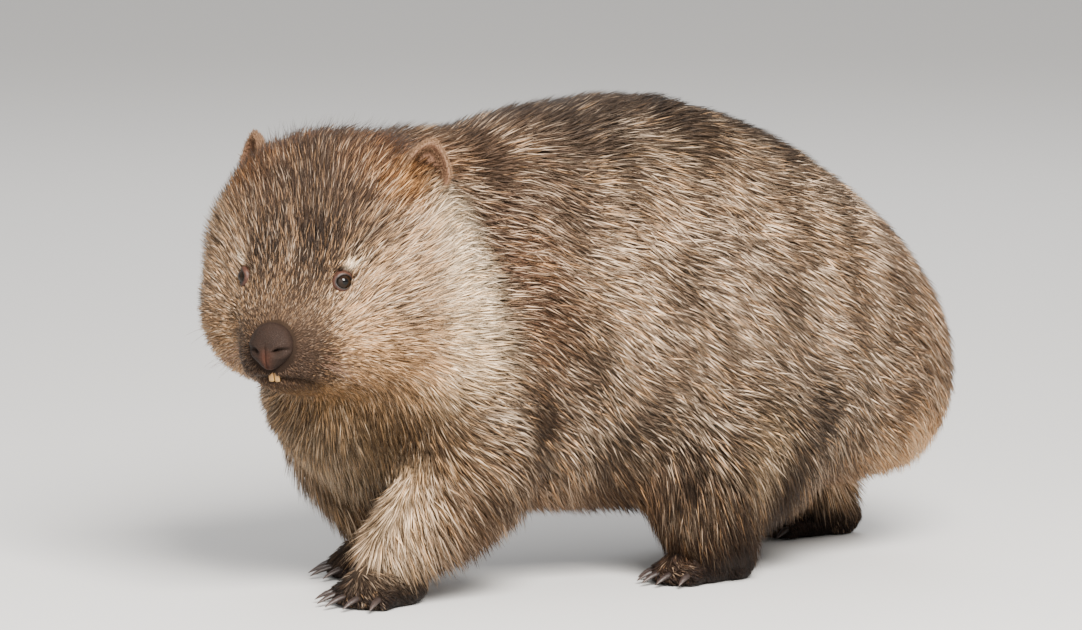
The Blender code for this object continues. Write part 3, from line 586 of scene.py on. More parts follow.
def foot_masses(bm, name):
    """The pads and toes of one foot, and a note of where its claws grow."""
    leg, turn, shape = FEET[name]
    (knee, _), (ankle, radius) = LEGS[leg][1:]
    knee, ankle = Vector(knee), Vector(ankle)
    turned = Matrix.Rotation(turn, 4, "Z")
    place = Matrix.Translation((ankle.x, ankle.y, 0.0)) @ turned
    add_bone(bm, ankle, radius, ankle.lerp(knee, ANKLE_UP), radius * ANKLE_THICKER)
    for (forward, up), radii in shape["pads"]:
        add_egg(bm, place @ Vector((0.0, -forward, up)), radii, turned)
    claw_roots[name] = []
    for i in range(-2, 3):
        fan = i / 2.0
        root = place @ Vector((fan * shape["root_spread"], -shape["toe_root"], TOE_ROOT_UP))
        reach = shape["toe_reach"] - shape["toe_arc"] * fan * fan
        tip = place @ Vector((fan * shape["tip_spread"], -reach, TOE_TIP_UP))
        add_bone(bm, root, shape["toe_radius"] * TOE_ROOT_THICKER, tip, shape["toe_radius"])
        along = Vector((tip.x - root.x, tip.y - root.y, 0.0)).normalized()
        length = shape["claw_length"] * (1.0 - OUTER_CLAW_SHORTER * abs(fan))
        claw_roots[name].append((tip + Vector((0, 0, CLAW_LIFT)), along, length))


feet = []
for name in FEET:
    bm = bmesh.new()
    foot_masses(bm, name)
    feet.append(fused(bm, name + "_mass", PAW_VOXEL, PAW_SMOOTHING))
print("feet:", [len(foot.data.vertices) for foot in feet])

# %% [markdown]
# ## One skin
#
# The body, the feet and the stub of the tail become one closed surface without a seam. The last
# remesh is fine enough to keep the toes. Where the soles meet the ground, the skin is pressed
# flat, as weight presses a real pad.

# %% Join everything into one skin
SKIN_VOXEL = 0.0034
SKIN_SMOOTHING = 3
TAIL_AT = (0.0, 0.3475, 0.190)
TAIL_RADII = (0.0110, 0.0125, 0.0190)
TAIL_TILT = math.radians(30)
SOLE_LIFT = 0.0003

whole = bmesh.new()
for mass in [body, *feet]:
    whole.from_mesh(mass.data)
    bpy.data.objects.remove(mass)
add_egg(whole, TAIL_AT, TAIL_RADII, Matrix.Rotation(TAIL_TILT, 4, "X"))
skin = fused(whole, "skin", SKIN_VOXEL, SKIN_SMOOTHING)
print("skin:", len(skin.data.polygons), "faces")

# %% [markdown]
# ## The face
#
# The lips part under the nose in one dark line, the eyes sit in shallow bowls, and the nose
# pad has a seat of its own. These are shapes of a millimetre or two, finer than the skin's mesh,
# so the faces of the muzzle and round the eyes are divided first, and then moved along their
# normals by simple functions of where they are.

# %% Divide the mesh of the face
NOSE_AT = (0.0965, 0.0, 0.2375)
NOSE_RADII = np.array((0.0192, 0.0135, 0.0205))
NOSE_TILT = math.radians(-12)
FACE_REACH = 0.058
EYE_REACH = 0.020
DIVIDED_ROUNDNESS = 0.6

nose_centre = head_point(*NOSE_AT)
eye_centres = {}
for side in ("left", "right"):
    low, high = (np.array(tuple(corner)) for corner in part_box("eye_" + side))
    eye_centres[side] = (low + high) / 2 - SHIFT

fine = bmesh.new()
fine.from_mesh(skin.data)
edges = []
for edge in fine.edges:
    middle = np.array(tuple((edge.verts[0].co + edge.verts[1].co) / 2))
    near_eye = min(how_far(middle, centre) for centre in eye_centres.values())
    if how_far(middle, nose_centre) < FACE_REACH or near_eye < EYE_REACH:
        edges.append(edge)
bmesh.ops.subdivide_edges(
    fine, edges=edges, cuts=1, smooth=DIVIDED_ROUNDNESS, use_grid_fill=True
)
fine.to_mesh(skin.data)
fine.free()
print("skin with a fine face:", len(skin.data.polygons), "faces")

# %% Shape the sockets, the mouth and the nose's seat
# A fade is a pair: where it starts, and over how much it runs
MOUTH_LINE = ((0.030, 0.1925), (0.120, 0.2165))
MOUTH_SLOPE = (MOUTH_LINE[1][1] - MOUTH_LINE[0][1]) / (MOUTH_LINE[1][0] - MOUTH_LINE[0][0])
MOUTH_FADE = (0.036, 0.020)
MOUTH_DEPTH, MOUTH_HALF_HEIGHT = 0.0034, 0.0022
LIP_SWELL, LIP_DISTANCE, LIP_WIDTH = 0.0012, 0.0060, 0.0040
SOCKET_DEPTH, SOCKET_FLAT, SOCKET_REACH = 0.0042, 0.006, 0.0150
PHILTRUM_DEPTH, PHILTRUM_HALF_WIDTH = 0.0020, 0.0022
PHILTRUM_TOP_FADE, PHILTRUM_END_FADE = (0.232, 0.008), (-0.001, 0.003)


def press_face(points, normals):
    """Moves the skin's corners in and out where the face has its features."""
    forward, left, up = as_head_sees(points)
    over_mouth = up - (MOUTH_LINE[0][1] + (forward - MOUTH_LINE[0][0]) * MOUTH_SLOPE)
    in_front = rising(forward, *MOUTH_FADE)
    change = -MOUTH_DEPTH * hump(over_mouth / MOUTH_HALF_HEIGHT) * in_front
    for lip in (-LIP_DISTANCE, LIP_DISTANCE):
        change += LIP_SWELL * hump((over_mouth - lip) / LIP_WIDTH) * in_front
    below_nose = falling(up, *PHILTRUM_TOP_FADE) * rising(over_mouth, *PHILTRUM_END_FADE)
    change -= PHILTRUM_DEPTH * hump(left / PHILTRUM_HALF_WIDTH) * below_nose * in_front
    for centre in eye_centres.values():
        beyond = rising(how_far(points, centre), SOCKET_FLAT, SOCKET_REACH - SOCKET_FLAT)
        change -= SOCKET_DEPTH * (1.0 - beyond)
    return points + normals * change[:, None]


points = press_face(points_of(skin.data), normals_of(skin.data))
points[:, 2] = np.maximum(points[:, 2], SOLE_LIFT)
set_points(skin.data, points)
print("skin stands on", round(points[:, 2].min(), 4), "and reaches", round(points[:, 2].max(), 4))

# %% [markdown]
# ## The lie of the coat
#
# Fur grows in streams. It parts at the nose, runs back over the forehead and out over the
# cheeks, then back and down along the flanks, and straight down on the rump and the legs. Two
# functions hold all of that: how far the coat's tips stand over the skin, and which way it lies.

# %% How the coat stands and lies
COAT_RISE, CROWN_RISE, FACE_RISE, FOOT_RISE = 0.0095, 0.0035, 0.0010, 0.0026
FACE_FADE, FOOT_FADE = (0.035, 0.085), (0.030, 0.045)
CROWN_AT = head_point(-0.030, 0.0, 0.340)
CROWN_FADE, CROWN_NOSE_FADE = (0.09, 0.06), (0.07, 0.05)
# The stream that starts at the nose, and how steeply the body's own stream goes down and back
NOSE_STREAM_FADE = (0.15, 0.12)
BACKWARD, DOWNWARD = 0.80, 0.62
DOWN_BELOW, BELOW_FADE = 0.75, (0.15, 0.09)
DOWN_BEHIND, BEHIND_FADE = 0.9, (0.25, 0.09)


def coat_rise(points):
    """How far the coat's tips stand over the skin: least on the face and the feet."""
    from_nose = how_far(points, nose_centre)
    rise = mixed(FACE_RISE, COAT_RISE, rising(from_nose, *FACE_FADE))
    crown = 1 - rising(how_far(points, CROWN_AT), *CROWN_FADE)
    rise += CROWN_RISE * crown * rising(from_nose, *CROWN_NOSE_FADE)
    return mixed(FOOT_RISE, rise, rising(points[:, 2], *FOOT_FADE))


def along_surface(vectors, facing):
    """What is left of each vector without the part that points out of the surface."""
    return vectors - facing * (vectors * facing).sum(axis=1, keepdims=True)


def lie(points, facing):
    """The way the coat lies: out from the nose over the head, then back and down."""
    from_nose = points - nose_centre
    on_body = rising(np.linalg.norm(from_nose, axis=1), *NOSE_STREAM_FADE)
    over_head = (1.0 - on_body)[:, None]
    down = DOWNWARD + DOWN_BELOW * falling(points[:, 2], *BELOW_FADE)
    down += DOWN_BEHIND * rising(points[:, 1], *BEHIND_FADE)
    flow = unit(np.stack([0 * down, BACKWARD + 0 * down, -down], axis=1))
    way = unit(from_nose) * over_head + flow * (1.0 - over_head)
    return unit(along_surface(way, facing))


crown_point = head_point(-0.03, 0.0, 0.41)[None]
print("coat rises", round(float(coat_rise(crown_point)[0]), 4), "m on the crown")

# %% [markdown]
# ## Markings
#
# The coat is grey-brown with pale tips, but it changes over the animal: a cream ruff behind the
# cheeks with a rusty band after it, a dark forehead and back, a dusky muzzle, pale streaks down
# the foreleg, a peach fringe under the rump and dark brown feet. Each tone is named once, with
# where it lies and how wide it spreads. Skin and coat both read these, so they always agree.

# %% Tones of the coat
# Colour as the eye reads it on a screen, and how many of the wisps have pale tips
TONES = {
    "flank": ((0.464, 0.381, 0.308), 0.63),
    "back": ((0.133, 0.104, 0.083), 0.12),
    "rump": ((0.445, 0.321, 0.216), 0.42),
    "fringe": ((0.982, 0.743, 0.500), 0.90),
    "shoulder": ((0.310, 0.231, 0.165), 0.46),
    "belly": ((0.495, 0.338, 0.204), 0.36),
    "thigh": ((0.208, 0.151, 0.097), 0.24),
    "streak": ((0.735, 0.618, 0.480), 0.84),
    "shin": ((0.133, 0.088, 0.052), 0.08),
    "foot": ((0.140, 0.093, 0.059), 0.06),
    "ruff": ((0.917, 0.811, 0.667), 0.90),
    "band": ((0.337, 0.224, 0.146), 0.34),
    "nape": ((0.286, 0.206, 0.146), 0.28),
    "cheek": ((0.518, 0.426, 0.339), 0.66),
    "jowl": ((0.677, 0.522, 0.367), 0.66),
    "chin": ((0.640, 0.480, 0.303), 0.32),
    "throat": ((0.317, 0.239, 0.145), 0.26),
    "forehead": ((0.201, 0.145, 0.108), 0.24),
    "crown": ((0.374, 0.230, 0.113), 0.20),
    "temple": ((0.429, 0.260, 0.075), 0.30),
    "muzzle": ((0.157, 0.102, 0.076), 0.04),
    "bridge": ((0.195, 0.143, 0.106), 0.28),
    "brow": ((0.960, 0.900, 0.810), 1.0),
    "mask": ((0.083, 0.059, 0.048), 0.06),
    "midline": ((0.295, 0.247, 0.217), 0.36),
    "shade": ((0.289, 0.230, 0.179), 0.34),
    "silver": ((0.763, 0.685, 0.603), 0.75),
    "chest": ((0.625, 0.542, 0.435), 0.60),
}
print(len(TONES), "tones")

# %% Where each tone lies
# Tone, whether the place is given from the head, the place, its spread on each axis, strength
PATCHES = (
    ("back", False, (0.0, 0.05, 0.440), (0.120, 0.330, 0.046), 11.0),
    ("rump", False, (0.0, 0.340, 0.230), (0.160, 0.090, 0.110), 1.6),
    ("fringe", False, (0.0, 0.320, 0.100), (0.120, 0.070, 0.034), 7.0),
    ("silver", False, (0.150, -0.190, 0.176), (0.030, 0.018, 0.014), 1.6),
    ("shoulder", False, (0.130, -0.150, 0.160), (0.060, 0.056, 0.056), 4.5),
    ("shoulder", False, (-0.130, -0.150, 0.160), (0.060, 0.056, 0.056), 4.5),
    ("shade", False, (0.112, -0.228, 0.156), (0.030, 0.026, 0.012), 4.0),
    ("chest", False, (0.035, -0.285, 0.128), (0.055, 0.045, 0.036), 5.0),
    ("shade", False, (-0.050, -0.216, 0.075), (0.050, 0.040, 0.040), 1.5),
    ("belly", False, (0.0, 0.0, 0.075), (0.120, 0.250, 0.035), 3.0),
    ("thigh", False, (0.140, 0.070, 0.108), (0.060, 0.090, 0.050), 5.0),
    ("thigh", False, (-0.130, 0.200, 0.105), (0.060, 0.080, 0.050), 5.0),
    ("shade", False, (0.130, 0.010, 0.092), (0.040, 0.030, 0.026), 3.0),
    ("streak", False, (0.095, -0.262, 0.096), (0.020, 0.026, 0.042), 6.0),
    ("streak", False, (-0.070, -0.215, 0.090), (0.020, 0.026, 0.042), 2.0),
    ("streak", False, (0.150, 0.084, 0.128), (0.030, 0.017, 0.030), 5.0),
    ("silver", False, (-0.080, 0.280, 0.080), (0.045, 0.040, 0.024), 8.0),
    ("ruff", True, (-0.024, 0.120, 0.272), (0.020, 0.040, 0.050), 8.0),
    ("ruff", True, (-0.024, -0.118, 0.262), (0.020, 0.040, 0.056), 5.0),
    ("ruff", True, (-0.028, 0.102, 0.338), (0.017, 0.026, 0.026), 6.0),
    ("ruff", True, (-0.028, -0.102, 0.338), (0.017, 0.026, 0.026), 4.0),
    ("band", True, (-0.078, 0.146, 0.285), (0.024, 0.034, 0.080), 8.0),
    ("band", True, (-0.078, -0.130, 0.285), (0.024, 0.040, 0.080), 8.0),
    ("nape", False, (0.070, -0.140, 0.385), (0.100, 0.050, 0.045), 4.5),
    ("cheek", True, (0.030, 0.092, 0.285), (0.034, 0.034, 0.036), 3.2),
    ("cheek", True, (0.030, -0.092, 0.285), (0.034, 0.034, 0.036), 1.4),
    ("jowl", True, (0.030, 0.080, 0.226), (0.034, 0.040, 0.024), 4.2),
    ("jowl", True, (0.030, -0.080, 0.226), (0.034, 0.040, 0.024), 3.0),
    ("chin", True, (0.050, 0.0, 0.186), (0.050, 0.036, 0.016), 4.5),
    # The throat's dark tone is partly its own and partly painted shade under the head and the
    # cheeks' fringe.
    ("throat", True, (-0.020, 0.020, 0.158), (0.060, 0.110, 0.030), 5.0),
    ("forehead", True, (0.048, 0.0, 0.350), (0.042, 0.056, 0.048), 9.0),
    ("forehead", True, (0.000, 0.0, 0.405), (0.034, 0.020, 0.030), 8.0),
    ("crown", True, (-0.025, 0.050, 0.400), (0.046, 0.030, 0.036), 13.0),
    ("crown", True, (-0.025, -0.050, 0.400), (0.046, 0.030, 0.036), 13.0),
    ("temple", True, (0.000, 0.076, 0.368), (0.022, 0.018, 0.020), 9.0),
    ("temple", True, (0.000, -0.076, 0.368), (0.022, 0.018, 0.020), 6.0),
    ("muzzle", True, (0.086, 0.0, 0.224), (0.026, 0.038, 0.026), 12.0),
    ("bridge", True, (0.078, 0.0, 0.288), (0.026, 0.028, 0.030), 8.0),
    ("mask", True, (0.060, 0.021, 0.314), (0.020, 0.013, 0.021), 28.0),
    ("mask", True, (0.060, -0.021, 0.314), (0.020, 0.013, 0.021), 28.0),
    ("midline", True, (0.062, 0.0, 0.310), (0.020, 0.0036, 0.011), 10.0),
    ("brow", True, (0.052, 0.0500, 0.3010), (0.0044, 0.0036, 0.0020), 16.0),
    ("brow", True, (0.052, -0.0480, 0.3010), (0.0044, 0.0036, 0.0020), 5.0),
)
print(len(PATCHES), "patches")

# %% Mix the tones
# Shins and feet are toned by height, and the forelegs take only a share of the shins' tone
SHIN_TONE_FADE, FOOT_TONE_FADE = (0.124, 0.074), (0.060, 0.042)
FORELEG_SHARE, FORELEG_FADE = 0.25, (-0.10, 0.08)
LEG_WEIGHT = 5.0


def from_screen(colour):
    """A screen colour as the amounts of light that a shader works with, by the usual curve."""
    colour = np.asarray(colour, float)
    return np.where(colour <= 0.04045, colour / 12.92, ((colour + 0.055) / 1.055) ** 2.4)


def toned(points):
    """The coat's colour and its share of pale tips, mixed from the tones of all patches."""
    head = np.stack(as_head_sees(points), axis=1)
    tone, share = TONES["flank"]
    colour = np.tile(from_screen(tone), (len(points), 1))
    share = np.full(len(points), share)
    weight = np.ones(len(points))
    on_shins = mixed(FORELEG_SHARE, 1.0, rising(points[:, 1], *FORELEG_FADE))
    for name, fade, most in (("shin", SHIN_TONE_FADE, on_shins), ("foot", FOOT_TONE_FADE, 1.0)):
        here = falling(points[:, 2], *fade) * most
        tone, pale = TONES[name]
        colour = mixed(colour, from_screen(tone), here[:, None])
        share = mixed(share, pale, here)
        weight += LEG_WEIGHT * here**2
    colour *= weight[:, None]
    share *= weight
    for name, on_head, centre, spread, strength in PATCHES:
        away = ((head if on_head else points) - np.array(centre)) / np.array(spread)
        here = strength * np.exp(-(away**2).sum(axis=1))
        tone, pale = TONES[name]
        colour += here[:, None] * from_screen(tone)
        share += here * pale
        weight += here
    return colour / weight[:, None], share / weight


spot_colour, spot_share = toned(nose_centre[None])
print("by the nose:", spot_colour[0].round(3), "and pale tips", round(float(spot_share[0]), 2))

# %% Clouds and folds in the coat
# One seed for each drift, so that none repeats another
CLOUD_SEED, WARMTH_SEED, TIPS_SEED, SWIRL_SEED, RIPPLE_SEED, FOLD_SEED = range(1, 7)
WAVES, WAVE_SPREAD = 6, (0.7, 1.4)
CLOUD_SIZE, CLOUD_DEPTH = 0.110, 0.11
WARMTH_SIZE, WARMTH_DEPTH = 0.150, 0.06
WARMTH_TINT = np.array((1.0, 0.35, -0.7))
TIPS_SIZE, TIPS_CHANGE = 0.080, 0.14
# Dark folds: how much closer together they are across the body than along it
# Folds are painted shade: bands of the coat are darkened and carry fewer pale tips where it would
# crease, with no crease in its shape.
FOLD_STRETCH = np.array((1.0, 1.0, 0.45))
FOLD_SIZE, FOLD_FADE, FOLD_NOSE_FADE = 0.052, (0.30, 0.45), (0.16, 0.05)
FOLD_SHADE, FOLD_FEWER_TIPS = 0.17, 0.25


def drift(points, size, seed):
    """A smooth random rise and fall over the body, from -1 to 1."""
    waves = np.random.default_rng(seed)
    total = np.zeros(len(points))
    for _ in range(WAVES):
        along = unit(waves.normal(size=3)) * waves.uniform(*WAVE_SPREAD) * 2 * math.pi / size
        total += np.sin(points @ along + waves.uniform(0.0, 2 * math.pi))
    return np.clip(2 * total / WAVES, -1.0, 1.0)


def markings(points):
    """The coat's middle colour and its share of pale tips at each point."""
    colour, share = toned(points)
    clouds = drift(points, CLOUD_SIZE, CLOUD_SEED)
    warmth = drift(points, WARMTH_SIZE, WARMTH_SEED)
    folds = rising(drift(points * FOLD_STRETCH, FOLD_SIZE, FOLD_SEED), *FOLD_FADE)
    folds *= rising(how_far(points, nose_centre), *FOLD_NOSE_FADE)
    colour *= 1.0 + CLOUD_DEPTH * clouds[:, None] + WARMTH_DEPTH * warmth[:, None] * WARMTH_TINT
    # Painted shade in the folds, which also carry fewer pale tips.
    colour *= 1.0 - FOLD_SHADE * folds[:, None]
    share += TIPS_CHANGE * drift(points, TIPS_SIZE, TIPS_SEED) - FOLD_FEWER_TIPS * folds
    return colour, share


spot_colour, _ = markings(nose_centre[None])
print("with its cloud:", spot_colour[0].round(3))

# %% [markdown]
# ## Writing materials as sums
#
# A shader is a small program drawn as boxes and wires. Written as Python expressions it is
# much shorter: the class below wraps one output of a node, and each sum or product of two of
# them adds the Math node that works it out. Any other node comes from its one method.

# %% A socket that can be added and multiplied
# A Mix node has sockets for numbers, vectors and colours. These are its places for colours
FIRST_COLOUR, SECOND_COLOUR, MIXED_COLOUR = 6, 7, 2


class Value:
    """One output of a node. Sums on it add Math nodes to the same material."""

    def __init__(self, tree, socket=None):
        self.tree = tree
        self.socket = socket

    def node(self, kind, settings=None, inputs=None, output=0):
        """Adds a node, sets it up, feeds its sockets, and gives one of its outputs."""
        made = self.tree.nodes.new(kind)
        for name, setting in (settings or {}).items():
            setattr(made, name, setting)
        for name, fed in (inputs or {}).items():
            if isinstance(fed, Value):
                self.tree.links.new(fed.socket, made.inputs[name])
            else:
                made.inputs[name].default_value = fed
        return Value(self.tree, made.outputs[output])

    def sum_with(self, other, operation, swap=False):
        """A Math node on this value and another, or on the other and this one."""
        first, second = (other, self) if swap else (self, other)
        return self.node("ShaderNodeMath", {"operation": operation}, {0: first, 1: second})

    def __add__(self, other):
        return self.sum_with(other, "ADD")

    def __sub__(self, other):
        return self.sum_with(other, "SUBTRACT")

    def __mul__(self, other):
        return self.sum_with(other, "MULTIPLY")

    def __rsub__(self, other):
        return self.sum_with(other, "SUBTRACT", swap=True)

    __radd__ = __add__
    __rmul__ = __mul__

    def between(self, low, high):
        """Runs from 0 to 1 as this value runs from low to high."""
        inputs = {"Value": self, "From Min": low, "From Max": high}
        return self.node("ShaderNodeMapRange", {}, inputs)

    def blend(self, first, second):
        """The first colour where this value is 0, the second where it is 1."""
        colours = {"Factor": self, FIRST_COLOUR: first, SECOND_COLOUR: second}
        return self.node("ShaderNodeMix", {"data_type": "RGBA"}, colours, MIXED_COLOUR)

    def darkened(self, red, green, blue):
        """This colour with its light cut down to these shares."""
        settings = {"data_type": "RGBA", "blend_type": "MULTIPLY"}
        colours = {"Factor": 1.0, FIRST_COLOUR: self, SECOND_COLOUR: (red, green, blue, 1.0)}
        return self.node("ShaderNodeMix", settings, colours, MIXED_COLOUR)


# %% Helpers for materials
COORDINATES = ("Generated", "Normal", "UV", "Object")


def new_look(name, roughness, **constants):
    """A material with its Principled shader, and an empty value to build on."""
    made = bpy.data.materials.new(name)
    made.use_nodes = True
    shader = made.node_tree.nodes["Principled BSDF"]
    shader.inputs["Roughness"].default_value = roughness
    for title, value in constants.items():
        shader.inputs[title.replace("_", " ")].default_value = value
    return made, shader, Value(made.node_tree)


def wire(shader, **fed):
    """Links values to the shader's sockets."""
    for title, value in fed.items():
        value.tree.links.new(value.socket, shader.inputs[title.replace("_", " ")])


def colour(red, green, blue):
    """A screen colour for a shader's socket."""
    return (*from_screen((red, green, blue)), 1.0)


def stored(start, name):
    """The colour that the mesh keeps under this name."""
    return start.node("ShaderNodeAttribute", {"attribute_name": name})


def where_on(start, coordinates):
    """The place on the object, in one of its kinds of coordinates."""
    return start.node("ShaderNodeTexCoord", output=COORDINATES.index(coordinates))


def place_noise(start, scale, detail=3.0):
    """Noise tied to the object itself."""
    inputs = {"Vector": where_on(start, "Object"), "Scale": scale, "Detail": detail}
    return start.node("ShaderNodeTexNoise", {}, inputs)


def bumped(start, height, distance, strength=1.0):
    """A normal that a height bends."""
    inputs = {"Height": height, "Distance": distance, "Strength": strength}
    return start.node("ShaderNodeBump", {}, inputs)


print("material helpers ready")

# %% [markdown]
# ## The skin's finish
#
# Hardly any skin shows between the wisps, and what does is painted dark, as the shade deep in
# a coat; the soles are bare. The markings, cut down by that painted shade, are stored on the
# mesh as a colour for each corner, which the shader reads, darkens and breaks up with fine noise
# and a bump.

# %% Colour the skin
# Painted shade: on the skin the coat's colours are cut to this share, as the shade deep between the
# wisps.
UNDER_COAT_SHADE = 0.34
EYE_SHADE = from_screen((0.36, 0.23, 0.18))
EYE_BARE, EYE_SHADE_REACH = 0.009, 0.0135


def store_colours(mesh, name, colours):
    """Keeps a colour for each corner of the mesh, which a shader can read."""
    layer = mesh.color_attributes.new(name=name, type="FLOAT_COLOR", domain="POINT")
    full = np.ones((len(colours), 4), np.float32)
    full[:, :3] = colours
    layer.data.foreach_set("color", full.ravel())


skin_colours, _ = markings(points)
for centre in eye_centres.values():
    beside = 1 - rising(how_far(points, centre), EYE_BARE, EYE_SHADE_REACH - EYE_BARE)
    skin_colours = mixed(skin_colours, EYE_SHADE, beside[:, None])
# The skin carries the coat's colours in painted shade.
store_colours(skin.data, "coat_tone_in_shade", skin_colours * UNDER_COAT_SHADE)

skin_look, shader, start = new_look("short_fur", 0.85, Specular_IOR_Level=0.1)
tone = stored(start, "coat_tone_in_shade")
fine_noise, broad_noise = place_noise(start, 900.0), place_noise(start, 60.0)
shade = (0.6 * fine_noise + 0.4 * broad_noise).between(0.30, 0.70)
wire(shader, Base_Color=shade.blend(tone.darkened(0.62, 0.60, 0.58), tone))
wire(shader, Roughness=0.75 + 0.2 * fine_noise, Normal=bumped(start, fine_noise, 0.0006))
print("skin material:", len(skin_look.node_tree.nodes), "nodes")

# %% [markdown]
# ## A map of the skin
#
# Each wisp of fur needs its own small patch on a flat map, so that its colours can be kept with
# the model. The skin is unwrapped once by its own shape. A wisp then takes the place where its
# root is on that map. The unwrap works on the skin's own charts, so it holds from every side.

# %% Unwrap the skin
CHART_ANGLE, CHART_GAP = math.radians(66), 0.002

bpy.context.view_layer.objects.active = skin
skin.select_set(True)
bpy.ops.object.mode_set(mode="EDIT")
bpy.ops.mesh.select_all(action="SELECT")
bpy.ops.uv.smart_project(angle_limit=CHART_ANGLE, island_margin=CHART_GAP)
bpy.ops.object.mode_set(mode="OBJECT")
skin.data.uv_layers.active.name = "OFBake"
skin_map = rows_of(skin.data.uv_layers["OFBake"].data, "uv", wide=2)
print("map spans", skin_map.min(axis=0).round(3), skin_map.max(axis=0).round(3))

# %% [markdown]
# ## Wisps
#
# A wisp is a thin, flat, tapered blade of three sides, with a root under the skin, a bend, and a
# tip. Between the blades lie finer spikes, which need no bend. Blender's hair would be quicker to
# comb, but hair curves are lost when a model is kept as plain mesh. So all wisps are worked out
# together as arrays: where each one is rooted, which way it runs, how it follows the skin below,
# and how neighbours gather towards one tip.

# %% Scatter roots over a surface
rng = np.random.default_rng(7)


def scatter(mesh, layer, crowding, count):
    """Roots spread over a mesh by how crowded it is to be: place, facing and map place."""
    corners, loops = triangles_of(mesh)
    spots, facing = points_of(mesh), normals_of(mesh)
    first, second, third = (spots[corners[:, i]] for i in range(3))
    areas = np.linalg.norm(np.cross(second - first, third - first), axis=1) / 2
    weights = areas * crowding((first + second + third) / 3)
    steps = (np.arange(count) + rng.random(count)) / count
    chosen = np.searchsorted(np.cumsum(weights) / weights.sum(), steps)
    chosen = np.minimum(chosen, len(corners) - 1)
    one, two = rng.random(count), rng.random(count)
    over = one + two > 1
    one[over], two[over] = 1 - one[over], 1 - two[over]
    shares = np.stack([1 - one - two, one, two], axis=1)[:, :, None]
    place = (spots[corners[chosen]] * shares).sum(axis=1)
    normal = unit((facing[corners[chosen]] * shares).sum(axis=1))
    return place, normal, (layer[loops[chosen]] * shares).sum(axis=1)


print("roots can be scattered")

# %% Gathering points and the nearest skin
# Big primes that scramble the number of a cell, and the count of places it can give
CELL_PRIMES = (73856093, 19349663, 83492791)
PLACE_PRIMES = (7919, 104729, 1299709)
CELL_PLACES = 10007


def gathering(points, size):
    """The nearest of a loose grid of gathering points, one to each cell of this size."""
    cell = np.floor(points / size).astype(np.int64)
    best = np.full(len(points), np.inf)
    nearest = points.copy()
    for step in itertools.product((-1, 0, 1), repeat=3):
        near = cell + np.array(step)
        x, y, z = (near * CELL_PRIMES).T
        parts = [((x ^ y ^ z) * prime % CELL_PLACES) / CELL_PLACES for prime in PLACE_PRIMES]
        spot = (near + np.stack(parts, axis=1)) * size
        distance = how_far(spot, points)
        closer = distance < best
        best[closer] = distance[closer]
        nearest[closer] = spot[closer]
    return nearest


def nearest_on(tree, points):
    """The nearest places on a surface and the way it faces there."""
    places, facing = np.empty_like(points), np.empty_like(points)
    find = tree.find_nearest
    for i, point in enumerate(points.tolist()):
        spot, normal = find(point)[:2]
        places[i] = spot
        facing[i] = normal
    return places, facing


print("a cell can hold", CELL_PLACES, "places on each axis")

# %% [markdown]
# ## Growing the wisps
#
# The middle and the tip of each wisp are dropped onto the skin and raised again, so a wisp bends
# with the body. It keeps a share of its own straightness, which frees the tips on cheeks, belly
# and legs. Pulling tips towards a gathering point makes the small locks that real fur falls
# into.

# %% Grow wisps from their roots
WISP_SINK = 0.0012
WISP_MIDDLE, MIDDLE_RISE = 0.54, 0.52
ROOT_WIDTH, RIDGE_SHARE = 0.62, 0.34
LEAST_HEIGHT = 0.0006


def rotated(vectors, axes, angles):
    """Vectors turned about axes that are square to them."""
    return vectors * np.cos(angles)[:, None] + np.cross(axes, vectors) * np.sin(angles)[:, None]


def wisp_rows(tree, roots, facing, way, length, rise, gather, pull, straight, droop=0.0):
    """The middle line of each wisp: root, bend and tip, with the skin's facing at each."""
    pulled = along_surface(gather - roots, facing)
    rows = [(roots - facing * WISP_SINK, facing)]
    for share, height in ((WISP_MIDDLE, MIDDLE_RISE), (1.0, 1.0)):
        flat = roots + (way * (length * share)[:, None] + pulled * (pull * share)[:, None])
        under, turned = nearest_on(tree, flat)
        bent = under + turned * (rise * height)[:, None]
        stiff = flat + facing * (rise * height)[:, None]
        keep = (straight * share)[:, None]
        place = bent * (1 - keep) + stiff * keep
        place[:, 2] -= droop * share * share
        rows.append((place, unit(turned * (1 - keep) + facing * keep)))
    return rows


def wisp_blades(rows, width):
    """Seven corners for each wisp: left, ridge and right at root and bend, then the tip."""
    along = unit(rows[2][0] - rows[0][0])
    corners = []
    for (place, facing), wide in zip(rows[:2], (ROOT_WIDTH, 1.0)):
        side = unit(np.cross(facing, along))
        half = side * (width * wide / 2)[:, None]
        ridge = facing * (width * wide * RIDGE_SHARE)[:, None]
        corners += [place - half, place + ridge, place + half]
    corners.append(rows[2][0])
    blades = np.stack(corners, axis=1)
    blades[:, :, 2] = np.maximum(blades[:, :, 2], LEAST_HEIGHT)
    return blades


print("wisps bend at", WISP_MIDDLE, "of their length")

# %% Turn wisps into a mesh
BLADE_FACES = np.array(
    [
        (2, 1, 0),
        (0, 1, 4), (0, 4, 3),
        (1, 2, 5), (1, 5, 4),
        (2, 0, 3), (2, 3, 5),
        (3, 4, 6), (4, 5, 6), (5, 3, 6),
    ]
)
SPIKE_FACES = np.array([(2, 1, 0), (0, 1, 3), (1, 2, 3), (2, 0, 3)])
BLADE_CORNERS, SPIKE_CORNERS = np.arange(7), np.array((0, 1, 2, 6))
BLADE, SPIKE = (BLADE_CORNERS, BLADE_FACES), (SPIKE_CORNERS, SPIKE_FACES)
ALONG = np.array((0.0, 0.0, 0.0, WISP_MIDDLE, WISP_MIDDLE, WISP_MIDDLE, 1.0))
ACROSS = np.array((-0.5, 0.0, 0.5, -0.5, 0.0, 0.5, 0.0))
PATCH_SIZE = 0.003


